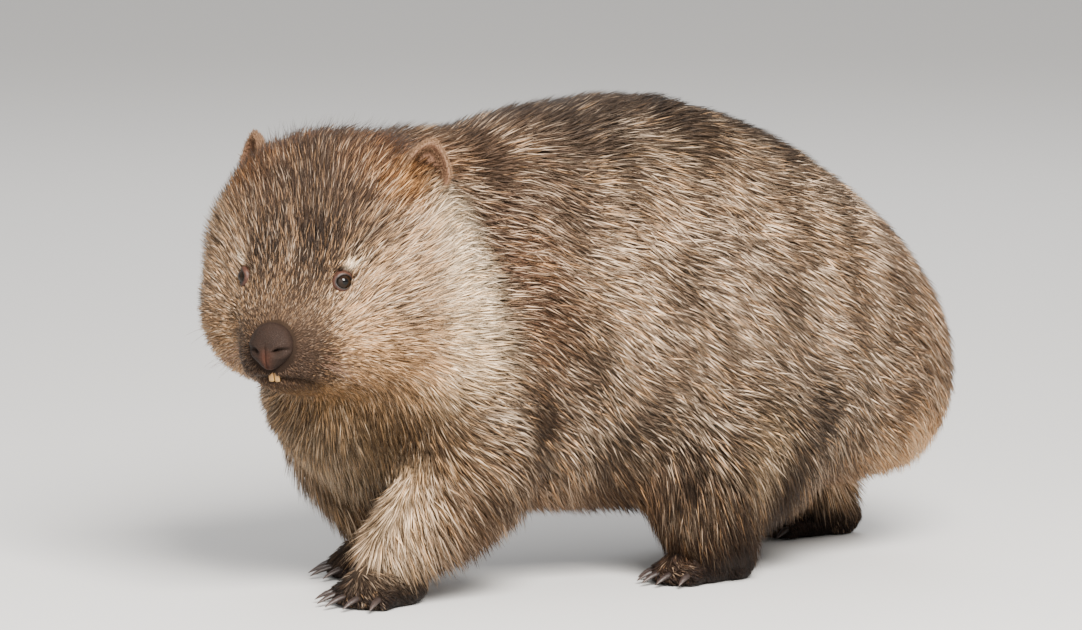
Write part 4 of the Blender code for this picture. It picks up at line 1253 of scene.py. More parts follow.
def mesh_of_wisps(name, blades, colours, map_places, thin):
    """One mesh of many wisps, with a colour for each corner and a small patch of map for each."""
    points, faces, tones, patches = [], [], [], []
    start = 0
    for chosen, (kept, shape) in ((~thin, BLADE), (thin, SPIKE)):
        count = int(chosen.sum())
        first = start + np.arange(count)[:, None, None] * len(kept)
        faces.append((first + shape).reshape(-1, 3))
        points.append(blades[chosen][:, kept].reshape(-1, 3))
        tones.append(colours[chosen][:, kept].reshape(-1, 3))
        spread = np.stack([ACROSS[kept], ALONG[kept] - 0.5], axis=1) * PATCH_SIZE
        patches.append((map_places[chosen][:, None, :] + spread).reshape(-1, 2))
        start += count * len(kept)
    faces = np.concatenate(faces)
    mesh = bpy.data.meshes.new(name)
    mesh.vertices.add(start)
    mesh.loops.add(len(faces) * 3)
    mesh.polygons.add(len(faces))
    mesh.vertices.foreach_set("co", np.concatenate(points).astype(np.float32).ravel())
    mesh.loops.foreach_set("vertex_index", faces.ravel().astype(np.int32))
    mesh.polygons.foreach_set("loop_start", np.arange(0, len(faces) * 3, 3, dtype=np.int32))
    mesh.update(calc_edges=True)
    store_colours(mesh, "wisp_tone", np.concatenate(tones))
    patch = np.clip(np.concatenate(patches), 0.0, 1.0)
    layer = mesh.uv_layers.new(name="OFBake")
    layer.data.foreach_set("uv", patch[faces.ravel()].astype(np.float32).ravel())
    return add_to_scene(name, mesh)


print("a blade has", len(BLADE_FACES), "faces and a spike", len(SPIKE_FACES))

# %% [markdown]
# ## The colour of each wisp
#
# A single hair is dark at its root, warm in its middle and pale, plain or black at its tip.
# That banding, repeated at random, is what makes a coat look grizzled. Every wisp draws
# its kind from the share of pale tips where it grows, and gets three colours along its length.
# The roots are also darkened further, as painted shade deep in the coat between the wisps.

# %% Colour wisps from root to tip
SILVER, BUFF = from_screen((0.985, 0.925, 0.850)), from_screen((0.950, 0.820, 0.660))
UMBER = from_screen((0.150, 0.100, 0.075))
# How many of the pale tips are buff, and how far each kind takes on the hue of the coat
WARM_ON_HEAD, WARM_ON_BODY, WARM_FADE = 0.62, 0.26, (0.14, 0.08)
BUFF_HUE, SILVER_HUE = 0.40, 0.30
# Tips go pale in small patches, and are brighter where there are many
TIP_PATCH, TIP_PATCHINESS = 0.011, 0.16
PATCH_WAVES, TO_MILLIMETRES = np.array((1.7, 2.3, 1.3)), 1000
PALE_LEAST, PALE_START, PALE_GAIN = 0.12, 0.08, 1.2
# How strong a pale or a dark tip is: at least, and more at random
PALE_STRENGTH, DARK_STRENGTH = (0.45, 0.55), (0.50, 0.45)
PLAIN_SHARE, PLAIN_GAIN = 0.42, 0.50
DARKER_HEAD, DARKER_HEAD_FADE = 0.10, (0.22, 0.06)
OWN_TONE = (-0.36, 0.20)
TIP_LIGHTER, TIP_PALE = 1.12, 0.90
BEND_DARK, BEND_PALE = 0.50, 0.55
# Roots take the hair's own dark base and, beyond it, painted shade from between the wisps.
ROOT_SHADE, ROOT_GAIN, THIN_ROOT = 0.20, 0.30, 0.80
DARKEST, LIGHTEST = 0.004, 0.96


def wisp_colours(points, gather, thin):
    """Colours of the seven corners of each wisp: shaded root, middle tone, tip of its kind."""
    count = len(points)
    middle, share = markings(points)
    from_nose = how_far(points, nose_centre)
    near = gathering(gather, TIP_PATCH) * TO_MILLIMETRES
    patchy = np.sin((near * PATCH_WAVES).sum(axis=1))
    drawn = rng.random(count) + patchy * TIP_PATCHINESS * share
    hue = middle / middle.max(axis=1, keepdims=True)
    warm = rng.random(count) < mixed(WARM_ON_HEAD, WARM_ON_BODY, rising(from_nose, *WARM_FADE))
    pale = np.where(warm[:, None], BUFF * hue**BUFF_HUE, SILVER * hue**SILVER_HUE)
    pale = pale * np.clip(PALE_START + PALE_GAIN * share, PALE_LEAST, 1.0)[:, None]
    strong = PALE_STRENGTH[0] + PALE_STRENGTH[1] * rng.random(count)
    strength = np.where(drawn < share, strong, 0.0)[:, None]
    plain = PLAIN_SHARE - DARKER_HEAD * falling(from_nose, *DARKER_HEAD_FADE) + PLAIN_GAIN * share
    strong = DARK_STRENGTH[0] + DARK_STRENGTH[1] * rng.random(count)
    dark = np.where(drawn > plain, strong, 0.0)[:, None]
    middle = middle * (1.0 + rng.uniform(*OWN_TONE, count)[:, None])
    tip = mixed(middle * TIP_LIGHTER + (pale - middle) * strength * TIP_PALE, UMBER, dark)
    bend = middle * (1 - BEND_DARK * dark) + (pale - middle) * strength * BEND_PALE
    # Painted shade at the root, on top of the hair's own dark base.
    root = middle * (ROOT_SHADE + ROOT_GAIN * middle.max(axis=1, keepdims=True))
    root = np.where(thin[:, None], bend * THIN_ROOT, root)
    return np.clip(np.stack([root] * 3 + [bend] * 3 + [tip], axis=1), DARKEST, LIGHTEST)


print("silver tips are", SILVER.round(2), "and buff ones", BUFF.round(2))

# %% [markdown]
# ## Cut of the coat
#
# The hair of the body is about three centimetres long and coarse. It shortens over the face to a
# few millimetres beside the nose, and on the feet. Where hair is short it is also finer and
# must be denser, so the number of roots follows from length and width: enough to cover the
# skin several times over.

# %% Length, width and crowding of the wisps
BODY_LENGTH, BODY_WIDTH = 0.031, 0.00154
NOSE_LENGTH, NOSE_WIDTH = 0.0062, 0.00064
HEAD_LENGTH, HEAD_WIDTH = 0.019, 0.00100
FOOT_LENGTH, FOOT_WIDTH = 0.0105, 0.00120
THIN_SHARE = 0.60
WISPS = 222000
# Where along the way from the nose the hair of the head and of the body take over
HEAD_FADE, BODY_FADE, ABOVE_FEET_FADE = (0.020, 0.090), (0.120, 0.110), (0.010, 0.040)
EYE_FADE, SHORTER_BY_EYE, FINER_BY_EYE = (0.009, 0.012), 0.45, 0.20
BARE_NOSE, BARE_EYE, BARE_SOLE = 1.04, 0.0082, 0.0025


def wisp_size(points):
    """Length and width of the wisps at each point."""
    from_nose = how_far(points, nose_centre)
    to_head, to_body = rising(from_nose, *HEAD_FADE), rising(from_nose, *BODY_FADE)
    above_feet = rising(points[:, 2], *ABOVE_FEET_FADE)
    length = mixed(NOSE_LENGTH, HEAD_LENGTH, to_head) + (BODY_LENGTH - HEAD_LENGTH) * to_body
    width = mixed(NOSE_WIDTH, HEAD_WIDTH, to_head) + (BODY_WIDTH - HEAD_WIDTH) * to_body
    length = mixed(FOOT_LENGTH, length, above_feet)
    width = mixed(FOOT_WIDTH, width, above_feet)
    for centre in eye_centres.values():
        by_eye = 1 - rising(how_far(points, centre), *EYE_FADE)
        length = length * (1 - SHORTER_BY_EYE * by_eye)
        width = width * (1 - FINER_BY_EYE * by_eye)
    return length, width


def is_bare(points):
    """Where no fur grows: the eyes, the nose pad and the soles."""
    forward, left, up = as_head_sees(points)
    seat = np.stack([left, forward - NOSE_AT[0], up - NOSE_AT[2]], axis=1) / NOSE_RADII
    bare = np.linalg.norm(seat, axis=1) < BARE_NOSE
    for centre in eye_centres.values():
        bare |= how_far(points, centre) < BARE_EYE
    bare |= points[:, 2] < BARE_SOLE
    return bare


def crowding(points):
    """How crowded the roots are: higher where the wisps are small, none where skin is bare."""
    length, width = wisp_size(points)
    return np.where(is_bare(points), 0.0, 1.0 / (length * width))


roots, facing, map_places = scatter(skin.data, skin_map, crowding, WISPS)
print("roots:", len(roots), "on the skin")

# %% [markdown]
# ## Laying the coat
#
# Real fur is never even. Locks turn aside a little, the coat ripples where the body folds, long
# hair hangs from the belly and behind the cheeks, and stiff guard hairs stand up on the crown.
# Each of these is one factor on a wisp's length, rise or straightness, and most carry a random
# share, so that no two wisps are the same.
# The ripples are painted too: wisps are lighter on the crests and darker in the troughs, as painted
# light and shade.

# %% How wisps differ over the body
GATHER_BODY, GATHER_HEAD, HEAD_REACH = 0.013, 0.008, 0.16
SWIRL, SWIRL_SIZE, STRAY = 0.30, 0.110, 0.17
RIPPLE, RIPPLE_WANDER, RIPPLE_SIZE, RIPPLE_FADE = 0.034, 4, 0.16, (0.14, 0.10)
# Painted light and shade on the ripples: how much lighter a raised wisp is, and darker a sunk one.
RIPPLE_RISE, RIPPLE_LIGHT_AND_SHADE = 0.22, 0.12
# Each wisp's own length, rise, width and droop lie between these shares of the usual ones
LENGTHS, RISES, WIDTHS, DROOPS = (0.75, 1.20), (0.55, 1.02), (0.75, 1.25), (0.4, 1.2)
MANE_AT, MANE_WIDTH, MANE_UP_FADE = 0.138, 0.024, (0.350, 0.03)
MANE_LONGER, MANE_HIGHER, MANE_STRAIGHT, MANE_DROOP = 0.35, 0.30, 0.75, 0.5
THIN_WIDTH, THIN_LONGER, THIN_HIGHER = 0.70, 1.10, 1.06
CROWN_TOP, CROWN_TOP_FADE = head_point(-0.030, 0.0, 0.390), (0.050, 0.045)
GUARDS, GUARDS_ON_CROWN = 0.10, 0.16
GUARD_HIGHER, CROWN_HIGHER, CROWN_STRAIGHT, CROWN_DARK = 1.12, 0.45, 0.8, 0.75
HANG_FADE, HANG_END_FADE = (0.16, 0.06), (0.036, 0.02)
DROOP, UNDER_FADE = 0.011, (0.4, 0.4)
STRAIGHT, STRAIGHT_BELOW, STRAIGHT_NOSE_FADE = 0.30, 0.85, (0.03, 0.04)
PULL, PULL_ON_FEET, FEET_HEIGHT, PULL_NOSE_FADE = 0.58, 0.20, 0.050, (0.045, 0.060)
EVEN_BY_NOSE, EVEN_FADE = 0.40, (0.026, 0.026)


def on_mane(points):
    """How much each place belongs to the long fringe behind and under the cheeks."""
    up = as_head_sees(points)[2]
    off = how_far(points, nose_centre) - MANE_AT
    return hump(off / MANE_WIDTH) * falling(up, *MANE_UP_FADE)


print("mane on", round(float((on_mane(roots) > 0.5).mean()), 3), "of the roots")

# %% Comb all wisps


def comb(tree, roots, facing):
    """The blades and colours of the body's coat, and which of them are thin."""
    count, up = len(roots), roots[:, 2]
    from_nose, mane = how_far(roots, nose_centre), on_mane(roots)
    on_head = (from_nose < HEAD_REACH)[:, None]
    gather = np.where(on_head, gathering(roots, GATHER_HEAD), gathering(roots, GATHER_BODY))
    turn = SWIRL * drift(roots, SWIRL_SIZE, SWIRL_SEED) + rng.normal(0.0, STRAY, count)
    way = rotated(lie(roots, facing), facing, turn)
    on_body = rising(from_nose, *RIPPLE_FADE)
    wander = RIPPLE_WANDER * drift(roots, RIPPLE_SIZE, RIPPLE_SEED)
    ripple = np.sin((roots * way).sum(axis=1) * 2 * math.pi / RIPPLE + wander)
    thin = rng.random(count) < THIN_SHARE

    length, width = wisp_size(roots)
    length = length * rng.uniform(*LENGTHS, count) * (1 + MANE_LONGER * mane)
    rise = coat_rise(roots) * rng.uniform(*RISES, count)
    rise = rise * (1 + RIPPLE_RISE * on_body * ripple) * (1 + MANE_HIGHER * mane)
    on_crown = 1 - rising(how_far(roots, CROWN_TOP), *CROWN_TOP_FADE)
    guard = thin & (rng.random(count) < GUARDS + GUARDS_ON_CROWN * on_crown)
    length = np.where(thin, length * THIN_LONGER, length)
    rise = np.where(thin, rise * THIN_HIGHER, rise)
    rise = np.where(guard, rise * (GUARD_HIGHER + CROWN_HIGHER * on_crown), rise)
    width = width * rng.uniform(*WIDTHS, count) * np.where(thin, THIN_WIDTH, 1.0)

    hangs = falling(up, *HANG_FADE) * rising(up, *HANG_END_FADE)
    stands = CROWN_STRAIGHT * on_crown * guard
    straight = np.maximum(np.maximum(hangs, stands), MANE_STRAIGHT * mane)
    straight = mixed(STRAIGHT, STRAIGHT_BELOW, straight) * rising(from_nose, *STRAIGHT_NOSE_FADE)
    pull = np.where(up < FEET_HEIGHT, PULL_ON_FEET, PULL * rising(from_nose, *PULL_NOSE_FADE))
    droop = DROOP * (hangs + MANE_DROOP * mane) * falling(facing[:, 2], *UNDER_FADE)
    droop = droop * rng.uniform(*DROOPS, count)
    rows = wisp_rows(tree, roots, facing, way, length, rise, gather, pull, straight, droop)

    tones = wisp_colours(roots, gather, thin)
    # Painted light on the ripples' crests and painted shade in their troughs.
    tones *= (1 + RIPPLE_LIGHT_AND_SHADE * on_body * ripple)[:, None, None]
    tones[:, 3:] = mixed(tones[:, 3:], UMBER, (CROWN_DARK * on_crown * guard)[:, None, None])
    by_nose = 1 - rising(from_nose, *EVEN_FADE)
    even = markings(roots)[0][:, None, :]
    tones = mixed(tones, even, (EVEN_BY_NOSE * by_nose)[:, None, None])
    return wisp_blades(rows, width), tones, thin


print("comb ready")

# %% Grow the coat


def tree_of(mesh):
    """The mesh as a tree that finds the nearest place on it."""
    faces = [tuple(polygon.vertices) for polygon in mesh.polygons]
    return BVHTree.FromPolygons(points_of(mesh).tolist(), faces)


skin_tree = tree_of(skin.data)
blades, tones, thin = comb(skin_tree, roots, facing)
print("wisps:", len(blades), "highest tip", round(blades[:, :, 2].max(), 4))

# %% [markdown]
# ## One finish for all wisps
#
# Hair is smooth along its length and scatters light softly across it. The shader reads the
# stored colours and adds a little variation inside each wisp, so that a blade looks like several
# hairs that lie together.

# %% The coat's material
coat_look, shader, start = new_look("coat_hair", 0.62, Specular_IOR_Level=0.16)
tone = stored(start, "wisp_tone")
strands = place_noise(start, 1400.0, detail=2.0)
wire(shader, Base_Color=strands.between(0.35, 0.65).blend(tone.darkened(0.80, 0.79, 0.78), tone))
wire(shader, Roughness=0.50 + 0.22 * strands, Normal=bumped(start, strands, 0.0002, 0.5))
print("coat material:", len(coat_look.node_tree.nodes), "nodes")

# %% Part the coat into pieces
MOST_TRIANGLES = 190000
BACK_ABOVE, BELLY_BELOW, CHEST_BELOW, CHEST_UP_TO = 0.335, 0.125, 0.200, -0.14
HEAD_FROM, HEAD_ABOVE = -0.060, 0.175
CROWN_HALF_WIDTH, CROWN_ABOVE = 0.060, 0.330
MUZZLE_REACH = 0.062
FACE_REGIONS = ("muzzle", "cheek_left", "cheek_right", "crown")


def coat_regions(points):
    """A name of the coat's region for each root."""
    forward, left, up = as_head_sees(points)
    x, y, z = points.T
    names = np.where(x > 0, "flank_left", "flank_right").astype("U16")
    names[z > BACK_ABOVE] = "back"
    names[(z < BELLY_BELOW) & (y > CHEST_UP_TO)] = "belly_hindlegs"
    names[(z < CHEST_BELOW) & (y <= CHEST_UP_TO)] = "chest_forelegs"
    head = (forward > HEAD_FROM) & (up > HEAD_ABOVE)
    names[head & (left > 0)] = "cheek_left"
    names[head & (left <= 0)] = "cheek_right"
    names[head & (np.abs(left) < CROWN_HALF_WIDTH) & (up > CROWN_ABOVE)] = "crown"
    names[how_far(points, nose_centre) < MUZZLE_REACH] = "muzzle"
    return names


region = coat_regions(roots)
for name in sorted(set(region)):
    chosen = np.flatnonzero(region == name)
    triangles = np.where(thin[chosen], len(SPIKE_FACES), len(BLADE_FACES)).sum()
    parts = max(1, math.ceil(triangles / MOST_TRIANGLES))
    for i, own in enumerate(np.array_split(chosen, parts)):
        title = "coat_" + name + ("_" + str(i + 1) if parts > 1 else "")
        piece = mesh_of_wisps(title, blades[own], tones[own], map_places[own], thin[own])
        settle(piece, "face_fur" if name in FACE_REGIONS else "body_fur", coat_look)
        print(title, len(own), "wisps")

settle(skin, "body_fur", skin_look, "torso", "neck", "head", "jaw", *LEGS, *FEET, "tail")
print("skin settled")

# %% [markdown]
# ## Eyes
#
# A wombat's eyes are small, dark brown and set low in thick lids. From a metre away they are
# almost black, with a bright glint. A ball with fine rings towards its front carries the iris
# and the pupil, painted by how far each point lies from the line of sight, under a wet coat.

# %% Shape of the eye
SIDES = ((1, "left"), (-1, "right"))
EYE_LOOK = (0.62, 0.76, 0.10)
EYE_RADIUS, EYE_TURNS, EYE_RINGS = 0.0085, 40, 24
CORNEA_BULGE, CORNEA_ANGLE = 0.0005, 0.75
# Tones by the angle from the line of sight, in degrees
PUPIL, IRIS, IRIS_RIM = (0.0015, 0.0015, 0.0015), (0.008, 0.004, 0.002), (0.003, 0.002, 0.001)
PUPIL_UP_TO, IRIS_UP_TO = 17, 42


def eye_turn(sign):
    """The rotation whose Z looks out of the eye."""
    look = Vector(head_turned(EYE_LOOK[0], np.float64(sign * EYE_LOOK[1]), EYE_LOOK[2]))
    return look.normalized().to_track_quat("Z", "Y").to_matrix()


def ring_round(count):
    """Cosine and sine of even angles all the way round."""
    angles = [2 * math.pi * i / count for i in range(count)]
    return [(math.cos(angle), math.sin(angle)) for angle in angles]


def eyeball_mesh(bm, place):
    """A ball of rings round the line of sight, with the cornea's slight bulge in front."""
    rings, poles = [], []
    for step in range(EYE_RINGS + 1):
        angle = math.pi * step / EYE_RINGS
        radius = EYE_RADIUS + CORNEA_BULGE * float(1 - eased(angle / CORNEA_ANGLE))
        out, along = radius * math.sin(angle), radius * math.cos(angle)
        if step in (0, EYE_RINGS):
            poles.append(place @ Vector((0.0, 0.0, along)))
        else:
            spots = [(out * x, out * y, along) for x, y in ring_round(EYE_TURNS)]
            rings.append([place @ Vector(spot) for spot in spots])
    skin_rings(bm, rings, poles)


print("an eye is", 2 * EYE_RADIUS * TO_MILLIMETRES, "mm across")

# %% Model the eyeballs
eye_look, shader, start = new_look(
    "wet_eye", 0.05, Specular_IOR_Level=0.16, Coat_Weight=0.03, Coat_Roughness=0.02
)
wire(shader, Base_Color=stored(start, "eye_tone"))
for sign, side in SIDES:
    bm = bmesh.new()
    turn = eye_turn(sign)
    eyeball_mesh(bm, Matrix.Translation(Vector(eye_centres[side])) @ turn.to_4x4())
    eyeball = object_from(bm, "eyeball_" + side)
    look = np.array(tuple(turn @ Vector((0, 0, 1))))
    out = unit(points_of(eyeball.data) - eye_centres[side]) @ look
    angle = np.degrees(np.arccos(np.clip(out, -1, 1)))[:, None]
    tone = np.where(angle < PUPIL_UP_TO, PUPIL, np.where(angle < IRIS_UP_TO, IRIS, IRIS_RIM))
    store_colours(eyeball.data, "eye_tone", tone)
    settle(eyeball, "eye", eye_look, "eye_" + side)
print("eyes at", {side: centre.round(3).tolist() for side, centre in eye_centres.items()})

# %% [markdown]
# ## Lids
#
# The lids are what give an eye its look. Each is a bare, wrinkled, reddish-brown rim that wraps
# the ball and leaves an almond opening. The almond is drawn as an angle from the line of sight
# that changes round the eye, and a profile of a few rings rolls over from inside to the face.

# %% Shape of the lids
LID_TURNS = 56
OPEN_WIDE, OPEN_HIGH, OPEN_LOW = 51.0, 41.0, 43.0
OPEN_CORNER, CORNER_SHARPNESS = 4.0, 6
# How far the profile goes out from the opening, in degrees, and its distance from the centre
LID_PROFILE = (
    (12, 0.00860), (0, 0.00855), (-1.5, 0.00880), (1, 0.00930), (7, 0.00985),
    (15, 0.01010), (24, 0.01000), (34, 0.00940), (44, 0.00820), (44, 0.00780),
)
LID_EDGE, LID_SKIN = from_screen((0.07, 0.045, 0.035)), from_screen((0.240, 0.148, 0.112))
LID_EDGE_FADE = (1.0, 8.0)


def lid_mesh(sign, side):
    """A ring of lid round one eye."""
    bm = bmesh.new()
    turn, centre = eye_turn(sign), Vector(eye_centres[side])
    rows = []
    for across, up in ring_round(LID_TURNS):
        high = OPEN_HIGH if up > 0 else OPEN_LOW
        opening = 1.0 / math.sqrt((across / OPEN_WIDE) ** 2 + (up / high) ** 2)
        opening += OPEN_CORNER * abs(across) ** CORNER_SHARPNESS
        row = []
        for more, radius in LID_PROFILE:
            angle = math.radians(opening + more)
            spoke = Vector((math.sin(angle) * across, math.sin(angle) * up, math.cos(angle)))
            row.append(bm.verts.new(centre + turn @ (spoke * radius)))
        rows.append(row)
    for first, second in zip(rows, rows[1:] + rows[:1]):
        bridge(bm, first, second)
    return object_from(bm, "eyelids_" + side)


print("a lid has", LID_TURNS, "spokes")

# %% Model the lids
lid_look, shader, start = new_look("lid_skin", 0.5, Specular_IOR_Level=0.25)
creases = place_noise(start, 420.0, detail=4.0)
tone = stored(start, "lid_tone")
wire(shader, Base_Color=creases.between(0.35, 0.65).blend(tone.darkened(0.55, 0.50, 0.48), tone))
wire(shader, Roughness=0.35 + 0.35 * creases, Normal=bumped(start, creases, 0.0006))
away = np.tile([rising(more, *LID_EDGE_FADE) for more, _ in LID_PROFILE], LID_TURNS)[:, None]
away[:: len(LID_PROFILE)] = 0.0
for sign, side in SIDES:
    lids = lid_mesh(sign, side)
    store_colours(lids.data, "lid_tone", mixed(LID_EDGE, LID_SKIN, away))
    settle(lids, "nose_skin", lid_look)
print("lids wrap", LID_PROFILE[-1][0], "degrees beyond the opening")

# %% [markdown]
# ## The nose pad
#
# This is the feature that names the bare-nosed wombat: a broad, leathery, dark pad with two
# comma-shaped nostrils and a groove down to the lip. A fine sphere takes the pad's shape, and
# each feature pushes its corners in or out. A bump of small cells gives the leather.
# Between the cells the colour is painted darker, as shade in the crevices.

# %% Shape of the nose pad
NOSE_DETAIL = 6
IN_FRONT = 0.3
# Swelling over the pad, the groove down its middle, and how the pad narrows towards the lip
BROW_SWELL, BROW_FADE = 0.05, (0.1, 0.8)
GROOVE_DEPTH, GROOVE_WIDTH, GROOVE_FADE = 0.10, 0.07, (0.10, 0.4)
PAD_WIDTH, PAD_NARROWING, PAD_FADE = 1.05, 0.34, (-0.15, 0.85)
NOSTRIL_AT, NOSTRIL_SLANT = (0.66, -0.24), 0.30
# Dents and swellings at each nostril: height, then place and width across, place and width up
NOSTRIL_FORMS = (
    (-0.34, 0.0, 0.24, 0.0, 0.090),
    (-0.22, -0.10, 0.13, -0.03, 0.13),
    (0.06, 0.0, 0.30, 0.24, 0.14),
    (0.05, 0.05, 0.25, -0.26, 0.12),
)
NOSE_DARK, NOSE_RED = from_screen((0.130, 0.084, 0.060)), from_screen((0.220, 0.122, 0.082))
RED_WIDTH, RED_FADE = 0.30, (-0.05, 0.5)


def moulded(name, detail, mould, turn, centre):
    """A fine ball, moulded to another form, turned and put in place. Also gives the ball."""
    bm = bmesh.new()
    bmesh.ops.create_icosphere(bm, subdivisions=detail, radius=1.0)
    ball = np.array([tuple(vert.co) for vert in bm.verts])
    for vert, place in zip(bm.verts, mould(ball) @ turn.T + centre):
        vert.co = place
    return object_from(bm, name), ball


def nose_shape(ball):
    """Points of a unit ball moved to the pad's own shape. It faces towards -Y."""
    across, front, up = ball[:, 0], -ball[:, 1], ball[:, 2]
    in_front = eased(front / IN_FRONT)
    reach = np.ones(len(ball))
    reach += BROW_SWELL * rising(up, *BROW_FADE) * eased(front)
    groove = hump(across / GROOVE_WIDTH) * falling(up, *GROOVE_FADE)
    reach -= GROOVE_DEPTH * groove * in_front
    for side in (1, -1):
        off = across * side - NOSTRIL_AT[0]
        curl = up - NOSTRIL_AT[1] - NOSTRIL_SLANT * off
        for height, at, wide, over, high in NOSTRIL_FORMS:
            reach += height * hump((off - at) / wide, (curl - over) / high) * in_front
    shaped = ball * reach[:, None]
    shaped[:, 0] *= PAD_WIDTH - PAD_NARROWING * falling(up, *PAD_FADE)
    return shaped * NOSE_RADII


print("each nostril has", len(NOSTRIL_FORMS), "forms")

# %% Model the nose
turn = np.array(Matrix.Rotation(HEAD_TURN, 3, "Z") @ Matrix.Rotation(NOSE_TILT, 3, "X"))
nose, ball = moulded("nose_pad", NOSE_DETAIL, nose_shape, turn, nose_centre)
reddish = hump(ball[:, 0] / RED_WIDTH) * falling(ball[:, 2], *RED_FADE)
store_colours(nose.data, "nose_tone", mixed(NOSE_DARK, NOSE_RED, reddish[:, None]))
print("nose pad:", len(nose.data.vertices), "corners")

# %% The nose's leather
nose_look, shader, start = new_look("nose_leather", 0.42, Specular_IOR_Level=0.14)
cell_inputs = {"Vector": where_on(start, "Object"), "Scale": 750.0}
cells = start.node("ShaderNodeTexVoronoi", {"feature": "DISTANCE_TO_EDGE"}, cell_inputs)
mottle, pebbles = place_noise(start, 120.0, detail=4.0), cells.between(0.0, 0.25)
tone = stored(start, "nose_tone")
# Painted shade: the colour darkens in the crevices between the pebbles, as well as with the mottle.
shade = (0.65 * mottle + 0.35 * pebbles).between(0.30, 0.65)
wire(shader, Base_Color=shade.blend(tone.darkened(0.50, 0.48, 0.46), tone))
wire(shader, Roughness=0.70 - 0.14 * pebbles + 0.10 * mottle)
wire(shader, Normal=bumped(start, pebbles, 0.00035, 0.8))
settle(nose, "nose_skin", nose_look, "nose")
print("leather:", len(nose_look.node_tree.nodes), "nodes")

# %% [markdown]
# ## Teeth
#
# A wombat's two upper front teeth grow all its life, like a rodent's. Their tips show under
# the lip, worn to a chisel and stained yellow. A block with rounded edges, which gets thinner
# towards its tip, is enough.

# %% Model the teeth
TOOTH_CUTS, TOOTH_HIDDEN = 5, 0.0032
EDGE_ROUNDING, TIP_WIDTH, TIP_WIDENING = 0.22, 0.92, 0.08
CHISEL_THIN, CHISEL_THICKENING, CHISEL_FADE = 0.55, 0.45, 2.5
WORN_EDGE, WORN_BELOW = 0.0006, -0.4


def worn(place):
    """A point of a unit cube, as the tooth's own rounded, chisel-edged shape has it."""
    x, y, z = place
    round_off = 1.0 - EDGE_ROUNDING * (2 * x) ** 2 * (2 * y) ** 2
    wide = TIP_WIDTH + TIP_WIDENING * (z + 0.5)
    deep = CHISEL_THIN + CHISEL_THICKENING * min(1.0, (z + 0.5) * CHISEL_FADE)
    hollow = WORN_EDGE * (2 * x) ** 2 * (z < WORN_BELOW)
    tall = z * (TOOTH_SIZE[2] - TOOTH_HIDDEN) + TOOTH_HIDDEN / 2 + hollow
    return x * TOOTH_SIZE[0] * wide * round_off, y * TOOTH_SIZE[1] * round_off * deep, tall


tooth_look, shader, start = new_look("tooth_enamel", 0.3, Specular_IOR_Level=0.6)
stain = place_noise(start, 260.0)
height = start.node("ShaderNodeSeparateXYZ", {}, {0: where_on(start, "Generated")}, output=2)
shade = (0.7 * height + 0.3 * stain).between(0.15, 0.85)
wire(shader, Base_Color=shade.blend(colour(0.54, 0.41, 0.21), colour(0.38, 0.25, 0.10)))
wire(shader, Roughness=0.22 + 0.2 * stain)
for sign, side in SIDES:
    bm = bmesh.new()
    bmesh.ops.create_cube(bm, size=1.0)
    bmesh.ops.subdivide_edges(bm, edges=bm.edges, cuts=TOOTH_CUTS, use_grid_fill=True)
    for vert in bm.verts:
        vert.co = worn(vert.co)
    bmesh.ops.transform(bm, matrix=tooth_place(sign), verts=bm.verts)
    settle(object_from(bm, "incisor_" + side), "tooth", tooth_look, "tooth_" + side)
print("teeth show under the lip at", round(TOOTH_AT[2] - TOOTH_SIZE[2] / 2, 4))

# %% [markdown]
# ## Ears
#
# The ears are small, stiff and rounded, like the bowl of a spoon with a blunt tip. One stretched
# ball is bent round its own length, and its front is pushed back to leave a thin cup. Short fur
# covers the back, the rim and the bowl, and is painted darker, as shade, where the bowl goes down
# into the ear.

# %% Shape of the ears
EAR_DETAIL = 5
EAR_AT = (-0.036, 0.080, 0.3725)
EAR_RADII = (0.0225, 0.0095, 0.0350)
EAR_LEAN, EAR_SPLAY = math.radians(14), math.radians(38)
EAR_TAPER, EAR_BEND, EAR_WALL = 0.30, 14.0, 0.0022
EAR_WAIST, WAIST_FADE = 0.22, (0.35, 0.9)
CUP_WIDE, CUP_TALL, CUP_FADE = 0.93, 0.95, 0.55
EAR_INSIDE, EAR_OUTSIDE = from_screen((0.36, 0.255, 0.19)), from_screen((0.34, 0.250, 0.185))
# The hollow's tone is painted shade, deep in the ear's opening.
EAR_RIM_TONE, EAR_HOLLOW_SHADE = from_screen((0.40, 0.305, 0.225)), from_screen((0.22, 0.12, 0.085))
EAR_FRONT, RIM_SHARE, RIM_SHARPNESS = 0.05, 1.6, 12


def ear_place(side):
    """The turn and the place that stand an ear on the head."""
    place = Matrix.Translation(Vector(head_point(EAR_AT[0], side * EAR_AT[1], EAR_AT[2])))
    place = place @ Matrix.Rotation(HEAD_TURN + side * EAR_SPLAY, 4, "Z")
    place = np.array(place @ Matrix.Rotation(side * EAR_LEAN, 4, "Y"))
    return place[:3, :3], place[:3, 3]


def ear_surface(ball):
    """Points of a unit ball moved to the ear's own cupped shape, standing upright."""
    across, deep, tall = EAR_RADII
    narrow = 1.0 - EAR_TAPER * np.maximum(0.0, ball[:, 2]) ** 2
    narrow -= EAR_WAIST * falling(ball[:, 2], *WAIST_FADE)
    x, y, z = ball[:, 0] * across * narrow, ball[:, 1] * deep, ball[:, 2] * tall
    from_rim = 1.0 - (ball[:, 0] / CUP_WIDE) ** 2 - (ball[:, 2] / CUP_TALL) ** 2
    cup = eased(from_rim / CUP_FADE) * (ball[:, 1] < 0)
    back = np.sqrt(np.maximum(0.0, 1.0 - ball[:, 0] ** 2 - ball[:, 2] ** 2)) * deep - EAR_WALL
    y = mixed(y, np.maximum(back, y), cup)
    return np.stack([x, y - EAR_BEND * x * x, z], axis=1)


print("an ear is", 2 * EAR_RADII[2] * TO_MILLIMETRES, "mm tall, with its foot in the head")

